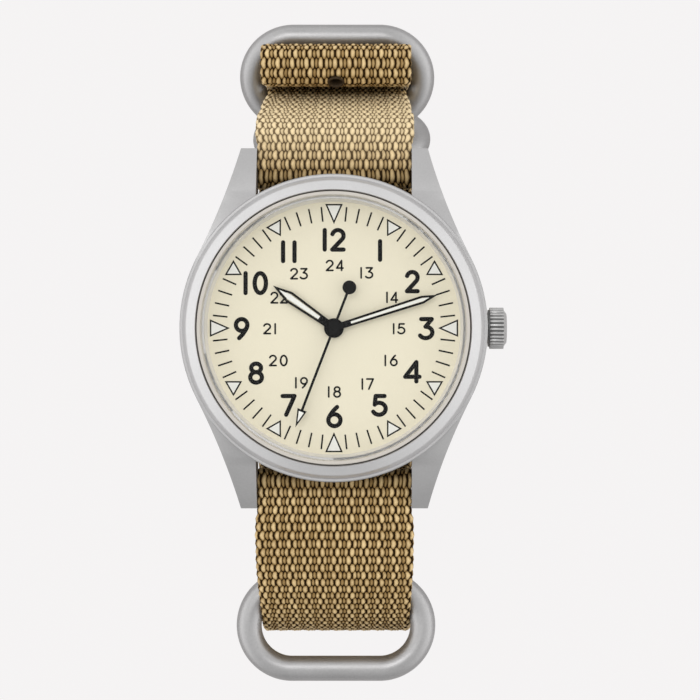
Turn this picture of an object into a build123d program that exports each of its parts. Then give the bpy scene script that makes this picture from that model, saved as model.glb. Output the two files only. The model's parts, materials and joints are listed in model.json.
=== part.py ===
# Field watch, 36 mm across the case, hand wound, on a ringed webbing strap that is closed as if worn.
# Frame: +Z out of the dial, +Y to 12 o'clock, +X to the crown.
# The origin is on the crystal's face, on the axis of the hands. Millimetres.
import os
from math import asin, atan2, cos, degrees, hypot, radians, sin, tan

from build123d import *

os.makedirs("parts", exist_ok=True)

# Case, seen from above
case_diameter = 36.0
case_radius = case_diameter / 2
lug_overhang = 3.3  # from the round case to a lug's tip
strap_width = 18.0
lug_gap_clearance = 0.15  # each side of the strap
lug_tip_thickness = 1.9
lug_root_angle = 27.2  # degrees from 3 o'clock to where a lug leaves the round case
tiny = 0.01
layer_gap = 0.1  # between one layer or piece and the next
running_gap = 0.03  # round what turns or slides

# Bezel, crystal, flange and dial
bezel_inset = 0.35  # inside the round case
bezel_bevel = 0.45
bezel_ring_width = 2.0
bezel_top_depth = 0.25
bezel_edge_depth = 0.75
case_top_depth = 1.5
case_top_step = 0.12
gasket_width = 0.6
gasket_sink = 0.15
crystal_thickness = 1.6
crystal_bevel = 0.2
ledge_width = 0.25  # of the crystal's rim that rests on the bezel
ledge_thickness = 0.8
spigot_inset = 1.3
rehaut_height = 0.9
rehaut_width = 0.5
dial_inset = 0.05
dial_thickness = 0.4
dial_clearance = 0.1
bezel_radius = case_radius - bezel_inset
bezel_flat_radius = bezel_radius - bezel_bevel
gasket_radius = case_radius - bezel_ring_width
crystal_radius = gasket_radius - gasket_width
spigot_radius = case_radius - spigot_inset
spigot_depth = crystal_thickness + ledge_thickness
ledge_depth = crystal_thickness
ledge_radius = crystal_radius - ledge_width
dial_radius = crystal_radius - dial_inset
dial_depth = spigot_depth + rehaut_height
rehaut_foot_radius = dial_radius - rehaut_width
bore_radius = dial_radius + dial_clearance

# Movement: plates, counted down from the dial
holder_play = 0.05
holder_width = 2.5
holder_radius = dial_radius - holder_play
movement_radius = holder_radius - holder_width
plate_thickness = 1.15
recess_depth = 0.8
train_height = 1.6  # from the plate to the bridges
bridge_thickness = 0.75
holder_stand = 0.1
pivot_radius = 0.12
fine_sides = 12  # small rounds inside the case have this many flats
wide_sides = 36  # and wide ones this many
jewel_radius = 0.55
jewel_thickness = 0.25
screw_radius = 0.75
screw_head_height = 0.3
screw_shank_radius = 0.4
screw_slot_width = 0.22
screw_slot_sink = 0.15
plate_depth = dial_depth + dial_thickness
plate_foot_depth = plate_depth + plate_thickness
bridge_depth = plate_foot_depth + train_height
bridge_foot_depth = bridge_depth + bridge_thickness
holder_foot_depth = bridge_foot_depth + holder_stand

# Case back, flank and lugs, counted down from the movement
back_seal_height = 0.6
back_seal_width = 0.35
back_thickness = 1.4
back_inset = 1.4
back_rim_round = 0.5
back_spigot_thickness = 0.5
back_spigot_height = 0.6
back_floor = 1.1
back_notches = 6
back_notch_width = 2.2
back_notch_reach = 0.9
back_notch_sink = 0.6
flank_height = 3.3
lug_tip_rise = 2.6  # from the case's lower edge up to a lug tip's upper edge
lug_tip_fall = 1.0  # and down to its lower edge
case_bottom_depth = holder_foot_depth + back_seal_height
back_depth = case_bottom_depth + back_thickness
back_radius = case_radius - back_inset
flank_depth = case_bottom_depth - flank_height
lug_tip_top_depth = case_bottom_depth - lug_tip_rise
lug_tip_bottom_depth = case_bottom_depth + lug_tip_fall
lug_tip_y = case_radius + lug_overhang
lug_inner_x = strap_width / 2 + lug_gap_clearance
lug_tip_x = lug_inner_x + lug_tip_thickness

# Spring bars
bar_radius = 0.75
bar_inset = 1.7  # from the lug tip to the bar's axis
bar_rise = 0.5  # above the case's lower edge
bar_tip_radius = 0.4
bar_tip_reach = 0.9
bar_tip_travel = 0.8
bar_shoulder_radius = 0.6
bar_tip_length = 3.4
bar_y = lug_tip_y - bar_inset
bar_depth = case_bottom_depth - bar_rise

# Crown and stem
stem_drop = 0.9  # below the plate
stem_radius = 0.4
crown_radius = 2.45
crown_gap = 0.15
crown_length = 2.2
crown_flutes = 31
crown_flute_sink = 0.16
crown_dome_sink = 0.35
crown_face_radius = 1.7
crown_cavity_radius = 1.5
crown_cavity_length = 1.5
crown_gasket_length = 0.5
tube_radius = 1.0
tube_wall = 0.35
tube_inset = 0.45
stem_depth = plate_foot_depth + stem_drop
crown_start = case_radius + crown_gap
tube_in = bore_radius + tube_inset

# Movement: going train, one stage a line; the shares are of the movement's radius
centre_wheel_teeth = 64
third_pinion_teeth = 8
third_wheel_teeth = 60
fourth_pinion_teeth = 8
fourth_wheel_teeth = 60
escape_pinion_teeth = 6
escape_wheel_teeth = 15
barrel_teeth = 72
centre_pinion_teeth = 12
third_share = 0.383
escape_share = 0.371
escape_angle = 160.0
barrel_share = 0.492
barrel_angle = 50.0
drum_share = 0.391
wheel_thickness = 0.16
addendum_share = 0.75  # of the module
dedendum_share = 1.15
third_distance = third_share * movement_radius
escape_distance = escape_share * movement_radius
barrel_distance = barrel_share * movement_radius
barrel_drum_radius = drum_share * movement_radius

# Movement: how far below the plate each face nearest the dial lies
centre_wheel_drop = 0.12
escape_wheel_drop = 0.43
barrel_drop = 0.4
third_wheel_drop = 0.8
fourth_wheel_drop = 1.32
barrel_rim_height = 0.25
barrel_height = 0.8
barrel_wall = 0.35
barrel_cover = 0.15
barrel_core_radius = 1.1
wheel_rim_share = 0.82  # inner radius of a wheel's rim
wheel_hub_radius = 0.9
spoke_width = 0.5
centre_wheel_depth = plate_foot_depth + centre_wheel_drop
escape_wheel_depth = plate_foot_depth + escape_wheel_drop
barrel_depth = plate_foot_depth + barrel_drop
third_wheel_depth = plate_foot_depth + third_wheel_drop
fourth_wheel_depth = plate_foot_depth + fourth_wheel_drop

# Movement: escapement
escape_radius_share = 0.1484
escape_root_share = 0.72
pallet_centre_share = 1.4142  # of the escape wheel's radius
balance_share = 0.6795
balance_angle = -162.6
balance_radius_share = 0.2656
balance_rim_width = 0.45
balance_rim_height = 0.3
balance_drop = 1.15
balance_arm_width = 0.5
staff_radius = 0.2
roller_radius = 0.7
roller_thickness = 0.12
roller_drop = 0.65
impulse_pin_radius = 0.12
impulse_pin_distance = 0.5
fork_gap = 0.05
fork_slot_depth = 0.35
fork_horn_width = 0.2
lever_width = 0.3
escape_radius = escape_radius_share * movement_radius
balance_radius = balance_radius_share * movement_radius
balance_depth = plate_foot_depth + balance_drop

# Movement: motion works, winding works
cannon_teeth = 12
minute_wheel_teeth = 36
minute_pinion_teeth = 10
hour_wheel_teeth = 40
minute_wheel_share = 0.2344
minute_wheel_angle = -35.0
hour_wheel_drop = 0.1  # below the dial
hour_wheel_thickness = 0.2
minute_wheel_drop = 0.42
minute_wheel_thickness = 0.24
seconds_arbor_radius = 0.12
centre_arbor_radius = 0.3
cannon_radius = 0.5
hour_pipe_radius = 0.75
ratchet_teeth = 40
crown_wheel_teeth = 26
winding_pinion_teeth = 13
crown_wheel_share = 0.5703
contrate_share = 0.1484
contrate_width = 0.36
contrate_height = 0.24
ratchet_drop = 0.45  # below the bridges' upper side
ratchet_thickness = 0.2
ratchet_floor_drop = 0.37
crown_wheel_floor_drop = 0.17
winding_pinion_length = 0.7
minute_wheel_distance = minute_wheel_share * movement_radius
crown_wheel_distance = crown_wheel_share * movement_radius
contrate_radius = contrate_share * movement_radius
ratchet_depth = bridge_depth + ratchet_drop
ratchet_floor_depth = bridge_depth + ratchet_floor_drop
crown_wheel_floor_depth = bridge_depth + crown_wheel_floor_drop

# Hands; the shares are of the dial's radius, the rises are above the dial
hour_hand_share = 0.5668
hour_shoulder_share = 0.4169
hour_hand_root_width = 0.85
hour_hand_width = 1.35
minute_hand_share = 0.8339
minute_shoulder_share = 0.7101
minute_hand_root_width = 0.75
minute_hand_width = 0.95
seconds_hand_share = 0.8111
seconds_arrow_share = 0.6678
seconds_tail_share = 0.3316
seconds_tail_radius = 0.81
seconds_hand_width = 0.3
seconds_arrow_width = 1.15
hand_thickness = 0.15
hand_frame = 0.26
hand_slot_start = 2.1
hour_hub_radius = 1.15
minute_hub_radius = 1.0
seconds_hub_radius = 0.7
hour_hand_rise = 0.5
minute_hand_rise = 0.9
seconds_hand_rise = 1.3
hour_hand_angle = 304.9  # degrees clockwise from 12
minute_hand_angle = 72.25
seconds_hand_angle = 201.1
hour_hand_length = hour_hand_share * dial_radius
hour_hand_shoulder = hour_shoulder_share * dial_radius
minute_hand_length = minute_hand_share * dial_radius
minute_hand_shoulder = minute_shoulder_share * dial_radius
seconds_hand_length = seconds_hand_share * dial_radius
seconds_arrow_start = seconds_arrow_share * dial_radius
seconds_tail_length = seconds_tail_share * dial_radius
hour_hand_depth = dial_depth - hour_hand_rise
minute_hand_depth = dial_depth - minute_hand_rise
seconds_hand_depth = dial_depth - seconds_hand_rise

# Strap and its metal
strap_thickness = 1.2
ring_side_room = 3.1  # from the strap's edge to the ring's outer end
ring_height = 13.6
ring_wire = 3.05
ring_fit = 0.25  # between a ring and what passes through it
buckle_side_room = 2.6
buckle_wire = 2.2
tongue_wire = 0.9
hole_diameter = 1.9
ring_width = strap_width + 2 * ring_side_room
buckle_width = strap_width + 2 * buckle_side_room


def at_angle(radius, angle):
    """A point at a radius and an angle in degrees, counted from +X."""
    return (radius * cos(radians(angle)), radius * sin(radians(angle)))


def gear_points(teeth, pitch_radius, phase=0.0):
    """Corners of a gear with fine pointed teeth, one of them at the angle phase."""
    module = 2 * pitch_radius / teeth
    tip = pitch_radius + addendum_share * module
    root = pitch_radius - dedendum_share * module
    half_pitch = 180 / teeth
    points = []
    for tooth in range(teeth):
        middle = phase + tooth * 2 * half_pitch
        points.append(at_angle(root, middle - half_pitch))
        points.append(at_angle(tip, middle))
    return points


def facing_phase(direction, teeth):
    """The phase that turns a gap to the neighbour in this direction."""
    return direction + 180 / teeth


# Places of the train's axes, and the phases that put the teeth in mesh
third_x, third_y = at_angle(third_distance, -90)
escape_x, escape_y = at_angle(escape_distance, escape_angle)
barrel_x, barrel_y = at_angle(barrel_distance, barrel_angle)
balance_x, balance_y = at_angle(balance_share * movement_radius, balance_angle)
minute_wheel_x, minute_wheel_y = at_angle(minute_wheel_distance, minute_wheel_angle)
crown_wheel_x, crown_wheel_y = (crown_wheel_distance, 0)


def pitch_radii(distance, wheel_teeth, pinion_teeth):
    """Pitch radii of a wheel and a pinion at this distance."""
    wheel = distance * wheel_teeth / (wheel_teeth + pinion_teeth)
    return wheel, distance - wheel


centre_wheel_radius, third_pinion_radius = pitch_radii(third_distance, centre_wheel_teeth,
                                                       third_pinion_teeth)
third_wheel_radius, fourth_pinion_radius = pitch_radii(third_distance, third_wheel_teeth,
                                                       fourth_pinion_teeth)
fourth_wheel_radius, escape_pinion_radius = pitch_radii(escape_distance, fourth_wheel_teeth,
                                                        escape_pinion_teeth)
barrel_radius, centre_pinion_radius = pitch_radii(barrel_distance, barrel_teeth, centre_pinion_teeth)
minute_wheel_radius, cannon_pinion_radius = pitch_radii(minute_wheel_distance, minute_wheel_teeth,
                                                        cannon_teeth)
hour_wheel_radius, minute_pinion_radius = pitch_radii(minute_wheel_distance, hour_wheel_teeth,
                                                      minute_pinion_teeth)
ratchet_distance = hypot(barrel_x - crown_wheel_x, barrel_y - crown_wheel_y)
ratchet_radius, crown_wheel_radius = pitch_radii(ratchet_distance, ratchet_teeth, crown_wheel_teeth)


def finish(part, name):
    """Label a finished piece and write its file."""
    part.label = name
    export_step(part, f"parts/{name}.step")


# Case middle: round body, four lugs cut to their side outline, bore, bar holes and crown tube hole
lug_root = at_angle(case_radius, lug_root_angle)
lug_root_way = (-sin(radians(lug_root_angle)), cos(radians(lug_root_angle)))

with BuildPart() as case_middle:
    with BuildSketch():
        with BuildLine():
            outer = TangentArc(lug_root, (lug_tip_x, lug_tip_y), tangent=lug_root_way)
            tip = Line(outer @ 1, (lug_inner_x, lug_tip_y))
            inner = Line(tip @ 1, (lug_inner_x, 0))
            Line(inner @ 1, (lug_root[0], 0))
            Line((lug_root[0], 0), lug_root)
        make_face()
        mirror(about=Plane.XZ)
        mirror(about=Plane.YZ)
    extrude(amount=-back_depth)
    with BuildSketch(Plane.YZ):
        with BuildLine():
            shoulder = (bezel_radius * sin(radians(lug_root_angle)), -case_top_depth)
            Line((0, -case_top_depth), shoulder)
            slope = TangentArc(shoulder, (lug_tip_y, -lug_tip_top_depth), tangent=(1, 0))
            Line(slope @ 1, (lug_tip_y, -lug_tip_bottom_depth))
            under = Line((lug_tip_y, -lug_tip_bottom_depth), (back_radius, -case_bottom_depth))
            Line(under @ 1, (0, -case_bottom_depth))
            Line((0, -case_bottom_depth), (0, -case_top_depth))
        make_face()
        mirror(about=Plane.YZ)
    extrude(amount=case_radius, both=True, mode=Mode.INTERSECT)
    with BuildSketch(Plane.XZ):
        with BuildLine():
            Polyline(
                (0, -case_top_depth),
                (case_radius - case_top_step, -case_top_depth),
                (case_radius, -case_top_depth - case_top_step),
                (case_radius, -flank_depth),
                (back_radius, -case_bottom_depth),
                (0, -case_bottom_depth),
                close=True,
            )
        make_face()
    revolve(axis=Axis.Z)
    with BuildSketch(Plane.XY.offset(-case_top_depth)):
        Circle(spigot_radius)
    extrude(amount=case_top_depth - spigot_depth, mode=Mode.SUBTRACT)
    with BuildSketch(Plane.XY.offset(-spigot_depth)):
        Circle(bore_radius)
    extrude(amount=spigot_depth - back_depth, mode=Mode.SUBTRACT)
    with BuildSketch(Plane.YZ.offset(lug_inner_x - tiny)):
        with Locations((bar_y, -bar_depth), (-bar_y, -bar_depth)):
            RegularPolygon(bar_tip_radius + running_gap, fine_sides)
    extrude(amount=bar_tip_reach + running_gap, mode=Mode.SUBTRACT)
    with BuildSketch(Plane.YZ.offset(-lug_inner_x + tiny)):
        with Locations((bar_y, -bar_depth), (-bar_y, -bar_depth)):
            RegularPolygon(bar_tip_radius + running_gap, fine_sides)
    extrude(amount=-bar_tip_reach - running_gap, mode=Mode.SUBTRACT)
    with BuildSketch(Plane.YZ):
        with Locations((0, -stem_depth)):
            RegularPolygon(tube_radius, fine_sides)
    extrude(amount=case_diameter, mode=Mode.SUBTRACT)
finish(case_middle.part, "case_middle")

# Bezel: sloped ring with the ledge that carries the crystal
with BuildPart() as bezel:
    with BuildSketch(Plane.XZ):
        with BuildLine():
            Polyline(
                (gasket_radius, -bezel_top_depth),
                (bezel_flat_radius, -bezel_edge_depth),
                (bezel_radius, -case_top_depth),
                (spigot_radius, -case_top_depth),
                (spigot_radius, -spigot_depth),
                (ledge_radius, -spigot_depth),
                (ledge_radius, -ledge_depth),
                (gasket_radius, -ledge_depth),
                close=True,
            )
        make_face()
    revolve(axis=Axis.Z)
finish(bezel.part, "bezel")

with BuildPart() as crystal:
    with BuildSketch(Plane.XY.offset(-crystal_thickness)):
        Circle(crystal_radius)
    extrude(amount=crystal_thickness)
    chamfer(crystal.edges().group_by(Axis.Z)[-1], crystal_bevel)
finish(crystal.part, "crystal")

with BuildPart() as crystal_gasket:
    with BuildSketch(Plane.XY.offset(-gasket_sink)):
        Circle(gasket_radius)
        Circle(crystal_radius, mode=Mode.SUBTRACT)
    extrude(amount=gasket_sink - ledge_depth)
finish(crystal_gasket.part, "crystal_gasket")

# Rehaut: the sloped flange between the bezel's ledge and the dial
with BuildPart() as rehaut:
    with BuildSketch(Plane.XZ):
        with BuildLine():
            Polyline(
                (ledge_radius, -spigot_depth),
                (dial_radius, -spigot_depth),
                (dial_radius, -dial_depth),
                (rehaut_foot_radius, -dial_depth),
                close=True,
            )
        make_face()
    revolve(axis=Axis.Z)
finish(rehaut.part, "rehaut")

# Dial: a plate with its two feet in the mainplate
dial_foot_radius = 0.35
dial_foot_length = 0.8
dial_foot_inset = 1.2
dial_foot_place = movement_radius - dial_foot_inset
dial_foot_angle = 20.0

with BuildPart() as dial:
    with BuildSketch(Plane.XY.offset(-dial_depth)):
        Circle(dial_radius)
        Circle(hour_pipe_radius + dial_clearance, mode=Mode.SUBTRACT)
    extrude(amount=-dial_thickness)
    with BuildSketch(Plane.XY.offset(-plate_depth)):
        with PolarLocations(dial_foot_place, 2, start_angle=dial_foot_angle):
            RegularPolygon(dial_foot_radius, fine_sides)
    extrude(amount=-dial_foot_length)
finish(dial.part, "dial")

# Case back: screwed disc with a spigot, six key notches and a seal
with BuildPart() as case_back:
    with BuildSketch(Plane.XY.offset(-case_bottom_depth)):
        Circle(back_radius)
    extrude(amount=case_bottom_depth - back_depth)
    chamfer(case_back.edges().group_by(Axis.Z)[0], back_rim_round)
    with BuildSketch(Plane.XY.offset(-case_bottom_depth)):
        Circle(bore_radius)
        Circle(bore_radius - back_spigot_thickness, mode=Mode.SUBTRACT)
    extrude(amount=back_spigot_height)
    with BuildSketch(Plane.XY.offset(-case_bottom_depth)):
        Circle(bore_radius - back_spigot_thickness)
    extrude(amount=back_floor - (back_depth - case_bottom_depth), mode=Mode.SUBTRACT)
    with BuildSketch(Plane.XY.offset(-back_depth)):
        with PolarLocations(back_radius - back_notch_reach, back_notches):
            Rectangle(back_notch_reach, back_notch_width)
    extrude(amount=back_notch_sink, mode=Mode.SUBTRACT)
finish(case_back.part, "case_back")

# The seal sits in the corner between the spigot and the movement holder
with BuildPart() as back_seal:
    seal_outer = bore_radius - back_spigot_thickness
    with BuildSketch(Plane.XY.offset(-case_bottom_depth)):
        RegularPolygon(seal_outer, wide_sides)
        RegularPolygon(seal_outer - back_seal_width, wide_sides, mode=Mode.SUBTRACT)
    extrude(amount=case_bottom_depth - holder_foot_depth)
finish(back_seal.part, "back_seal")

# Movement holder: plastic ring between the movement and the case, with a way for the stem
with BuildPart() as movement_holder:
    with BuildSketch(Plane.XY.offset(-plate_depth)):
        RegularPolygon(holder_radius, wide_sides)
        RegularPolygon(movement_radius, wide_sides, mode=Mode.SUBTRACT)
    extrude(amount=plate_depth - holder_foot_depth)
    with BuildSketch(Plane.YZ):
        with Locations((0, -stem_depth)):
            Circle(tube_radius)
    extrude(amount=case_radius, mode=Mode.SUBTRACT)
finish(movement_holder.part, "movement_holder")

# Movement plates and bridges: places of the pillars that carry the bridges
train_foot_share = 0.83
barrel_foot_share = 0.88
cock_foot_share = 0.867
pallet_foot_share = 0.753
train_foot_angles = (-61.0, 153.9)
barrel_foot_angles = (106.8, -21.6)
cock_foot_angle = -124.0
pallet_foot_angle = 174.6
train_foot_places = [at_angle(train_foot_share * movement_radius, angle) for angle in train_foot_angles]
barrel_foot_places = [at_angle(barrel_foot_share * movement_radius, angle) for angle in barrel_foot_angles]
cock_foot_place = at_angle(cock_foot_share * movement_radius, cock_foot_angle)
pallet_foot_place = at_angle(pallet_foot_share * movement_radius, pallet_foot_angle)
foot_radius = 1.3
pallet_foot_radius = 0.9
pallet_cock_drop = 0.77
pallet_cock_depth = plate_foot_depth + pallet_cock_drop
pallet_cock_thickness = 0.25
click_share = 0.774
click_angle = 70.85
click_x, click_y = at_angle(click_share * movement_radius, click_angle)
click_post_radius = 0.3
minute_post_radius = 0.25
crown_wheel_post_radius = 0.8
well_gap = 0.15  # round a wheel that turns in a recess
recess_gap = 0.3  # the same for a recess with flats
jewel_play = 0.05

pallet_way = (balance_x - escape_x, balance_y - escape_y)
pallet_way_length = hypot(*pallet_way)
pallet_distance = escape_radius * pallet_centre_share
pallet_x = escape_x + pallet_way[0] / pallet_way_length * pallet_distance
pallet_y = escape_y + pallet_way[1] / pallet_way_length * pallet_distance
jewelled_places = [(third_x, third_y), (escape_x, escape_y), (balance_x, balance_y)]
pivot_top_depth = plate_foot_depth - jewel_thickness
pivot_foot_depth = bridge_depth + jewel_thickness
arbor_top_depth = plate_foot_depth + running_gap
arbor_foot_depth = bridge_depth - running_gap
tip_reach = 1 + 2 * addendum_share / hour_wheel_teeth
recess_radius = hour_wheel_radius * tip_reach + recess_gap

winding_pinion_radius = contrate_radius * winding_pinion_teeth / crown_wheel_teeth
winding_pinion_tip = winding_pinion_radius * (1 + 2 * addendum_share / winding_pinion_teeth)

# Blocks on the plate that guide the stem
stem_block_width = 1.8
stem_block_cap = 0.4
stem_inner_gap = 1.2  # from the winding pinion's middle
stem_inner_length = 0.5
stem_outer_gap = 1.0
stem_outer_inset = 0.4
stem_inner_start = crown_wheel_x + contrate_radius - stem_inner_gap
stem_outer_start = crown_wheel_x + contrate_radius + stem_outer_gap
stem_outer_length = movement_radius - stem_outer_inset - stem_outer_start

with BuildPart() as mainplate:
    with BuildSketch(Plane.XY.offset(-plate_depth)):
        RegularPolygon(movement_radius, wide_sides)
    extrude(amount=-plate_thickness)
    with BuildSketch(Plane.XY.offset(-plate_foot_depth)):
        with Locations((stem_inner_start + stem_inner_length / 2, 0)):
            Rectangle(stem_inner_length, stem_block_width)
        with Locations((stem_outer_start + stem_outer_length / 2, 0)):
            Rectangle(stem_outer_length, stem_block_width)
    extrude(amount=plate_foot_depth - stem_depth - stem_radius - stem_block_cap / 2)
    with BuildSketch(Plane.XY.offset(-plate_depth)):
        RegularPolygon(recess_radius, fine_sides)
        with Locations((minute_wheel_x, minute_wheel_y)):
            RegularPolygon(recess_radius, fine_sides)
    extrude(amount=-recess_depth, mode=Mode.SUBTRACT)
    with BuildSketch(Plane.XY.offset(-plate_depth - recess_depth)):
        with Locations((minute_wheel_x, minute_wheel_y)):
            RegularPolygon(minute_post_radius, fine_sides)
    extrude(amount=recess_depth - hour_wheel_drop)
    with BuildSketch(Plane.XY.offset(-plate_foot_depth)):
        RegularPolygon(centre_arbor_radius + running_gap, fine_sides)
        with Locations((barrel_x, barrel_y)):
            RegularPolygon(stem_radius + running_gap, fine_sides)
    extrude(amount=plate_thickness, mode=Mode.SUBTRACT)
    with BuildSketch(Plane.XY.offset(-plate_foot_depth)):
        with Locations(*jewelled_places, (pallet_x, pallet_y)):
            RegularPolygon(jewel_radius, fine_sides)
    extrude(amount=jewel_thickness + jewel_play, mode=Mode.SUBTRACT)
    with BuildSketch(Plane.XY.offset(-plate_depth)):
        with PolarLocations(dial_foot_place, 2, start_angle=dial_foot_angle):
            RegularPolygon(dial_foot_radius + running_gap, fine_sides)
    extrude(amount=-plate_thickness, mode=Mode.SUBTRACT)
    with BuildSketch(Plane.XY.offset(-plate_foot_depth)):
        with Locations(*train_foot_places, *barrel_foot_places, cock_foot_place, pallet_foot_place):
            RegularPolygon(screw_shank_radius, fine_sides)
    extrude(amount=plate_thickness / 2, mode=Mode.SUBTRACT)
    with BuildSketch(Plane.YZ):
        with Locations((0, -stem_depth)):
            RegularPolygon(stem_radius + running_gap, fine_sides)
    extrude(amount=movement_radius, mode=Mode.SUBTRACT)
    with BuildSketch(Plane.XY.offset(-plate_foot_depth)):
        with Locations((crown_wheel_x + contrate_radius, 0)):
            Rectangle(winding_pinion_length + well_gap, 2 * winding_pinion_tip)
    extrude(amount=plate_foot_depth - stem_depth + winding_pinion_tip + well_gap / 2, mode=Mode.SUBTRACT)
finish(mainplate.part, "mainplate")

# Train bridge: over the third, fourth and escape wheels
with BuildPart() as train_bridge:
    with BuildSketch(Plane.XY.offset(-bridge_depth)):
        with Locations(*train_foot_places):
            Circle(foot_radius)
        with Locations((third_x, third_y), (0, 0), (escape_x, escape_y)):
            Circle(foot_radius)
        make_hull()
    extrude(amount=-bridge_thickness)
    with BuildSketch(Plane.XY.offset(-plate_foot_depth)):
        with Locations(*train_foot_places):
            RegularPolygon(foot_radius, fine_sides)
    extrude(amount=plate_foot_depth - bridge_depth)
    with BuildSketch(Plane.XY.offset(-bridge_depth)):
        with Locations((third_x, third_y), (0, 0), (escape_x, escape_y)):
            RegularPolygon(jewel_radius, fine_sides)
    extrude(amount=-jewel_thickness - jewel_play, mode=Mode.SUBTRACT)
    with BuildSketch(Plane.XY.offset(-bridge_foot_depth)):
        with Locations(*train_foot_places):
            RegularPolygon(screw_radius, fine_sides)
    extrude(amount=screw_head_height, mode=Mode.SUBTRACT)
    with BuildSketch(Plane.XY.offset(-bridge_foot_depth)):
        with Locations(*train_foot_places):
            RegularPolygon(screw_shank_radius, fine_sides)
    extrude(amount=bridge_foot_depth - plate_foot_depth, mode=Mode.SUBTRACT)
finish(train_bridge.part, "train_bridge")

# Barrel bridge: over the barrel, with recesses for the ratchet wheel and the crown wheel
ratchet_tip_radius = ratchet_radius * (1 + 2 * addendum_share / ratchet_teeth)
crown_wheel_tip_radius = crown_wheel_radius * (1 + 2 * addendum_share / crown_wheel_teeth)
bridge_margin = 0.7
click_room = 1.7

with BuildPart() as barrel_bridge:
    with BuildSketch(Plane.XY.offset(-bridge_depth)):
        with Locations(*barrel_foot_places):
            Circle(foot_radius)
        with Locations((barrel_x, barrel_y)):
            Circle(ratchet_tip_radius + bridge_margin)
        with Locations((crown_wheel_x, crown_wheel_y)):
            Circle(crown_wheel_tip_radius + bridge_margin)
        with Locations((click_x, click_y)):
            Circle(click_room + bridge_margin)
        make_hull()
    extrude(amount=-bridge_thickness)
    with BuildSketch(Plane.XY.offset(-plate_foot_depth)):
        with Locations(*barrel_foot_places):
            RegularPolygon(foot_radius, fine_sides)
    extrude(amount=plate_foot_depth - bridge_depth)
    with BuildSketch(Plane.XY.offset(-bridge_foot_depth)):
        with Locations((barrel_x, barrel_y)):
            Circle(ratchet_tip_radius + well_gap)
        with Locations((click_x, click_y)):
            Circle(click_room)
    extrude(amount=bridge_foot_depth - ratchet_floor_depth, mode=Mode.SUBTRACT)
    with BuildSketch(Plane.XY.offset(-bridge_foot_depth)):
        with Locations((crown_wheel_x, crown_wheel_y)):
            Circle(crown_wheel_tip_radius + well_gap)
            RegularPolygon(crown_wheel_post_radius, fine_sides, mode=Mode.SUBTRACT)
    extrude(amount=bridge_foot_depth - crown_wheel_floor_depth, mode=Mode.SUBTRACT)
    with BuildSketch(Plane.XY.offset(-ratchet_floor_depth)):
        with Locations((click_x, click_y)):
            RegularPolygon(click_post_radius, fine_sides)
    extrude(amount=ratchet_floor_depth - bridge_foot_depth)
    with BuildSketch(Plane.XY.offset(-bridge_foot_depth)):
        with Locations((barrel_x, barrel_y)):
            RegularPolygon(stem_radius + running_gap, fine_sides)
        with Locations((crown_wheel_x + contrate_radius, 0)):
            Rectangle(winding_pinion_length + well_gap, 2 * contrate_radius / 2 + 2 * well_gap)
    extrude(amount=bridge_foot_depth - bridge_depth, mode=Mode.SUBTRACT)
    with BuildSketch(Plane.XY.offset(-bridge_foot_depth)):
        with Locations(*barrel_foot_places):
            RegularPolygon(screw_radius, fine_sides)
    extrude(amount=screw_head_height, mode=Mode.SUBTRACT)
    with BuildSketch(Plane.XY.offset(-bridge_foot_depth)):
        with Locations(*barrel_foot_places):
            RegularPolygon(screw_shank_radius, fine_sides)
    extrude(amount=bridge_foot_depth - plate_foot_depth, mode=Mode.SUBTRACT)
finish(barrel_bridge.part, "barrel_bridge")

# Balance cock: one arm on one foot
with BuildPart() as balance_cock:
    with BuildSketch(Plane.XY.offset(-bridge_depth)):
        with Locations((balance_x, balance_y), cock_foot_place):
            Circle(foot_radius)
        make_hull()
    extrude(amount=-bridge_thickness)
    with BuildSketch(Plane.XY.offset(-plate_foot_depth)):
        with Locations(cock_foot_place):
            RegularPolygon(foot_radius, fine_sides)
    extrude(amount=plate_foot_depth - bridge_depth)
    with BuildSketch(Plane.XY.offset(-bridge_depth)):
        with Locations((balance_x, balance_y)):
            RegularPolygon(jewel_radius, fine_sides)
    extrude(amount=-jewel_thickness - jewel_play, mode=Mode.SUBTRACT)
    with BuildSketch(Plane.XY.offset(-bridge_foot_depth)):
        with Locations(cock_foot_place):
            RegularPolygon(screw_radius, fine_sides)
    extrude(amount=screw_head_height, mode=Mode.SUBTRACT)
    with BuildSketch(Plane.XY.offset(-bridge_foot_depth)):
        with Locations(cock_foot_place):
            RegularPolygon(screw_shank_radius, fine_sides)
    extrude(amount=bridge_foot_depth - plate_foot_depth, mode=Mode.SUBTRACT)
finish(balance_cock.part, "balance_cock")

# Pallet cock: a thin bar under the balance
pallet_cock_foot_depth = pallet_cock_depth + pallet_cock_thickness

with BuildPart() as pallet_cock:
    with BuildSketch(Plane.XY.offset(-pallet_cock_depth)):
        with Locations((pallet_x, pallet_y), pallet_foot_place):
            RegularPolygon(pallet_foot_radius, fine_sides)
        make_hull()
    extrude(amount=-pallet_cock_thickness)
    with BuildSketch(Plane.XY.offset(-plate_foot_depth)):
        with Locations(pallet_foot_place):
            RegularPolygon(pallet_foot_radius, fine_sides)
    extrude(amount=plate_foot_depth - pallet_cock_depth)
    with BuildSketch(Plane.XY.offset(-pallet_cock_foot_depth)):
        with Locations((pallet_x, pallet_y)):
            RegularPolygon(pivot_radius + running_gap, fine_sides)
        with Locations(pallet_foot_place):
            RegularPolygon(screw_shank_radius, fine_sides)
    extrude(amount=pallet_cock_foot_depth - plate_foot_depth, mode=Mode.SUBTRACT)
finish(pallet_cock.part, "pallet_cock")

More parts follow.
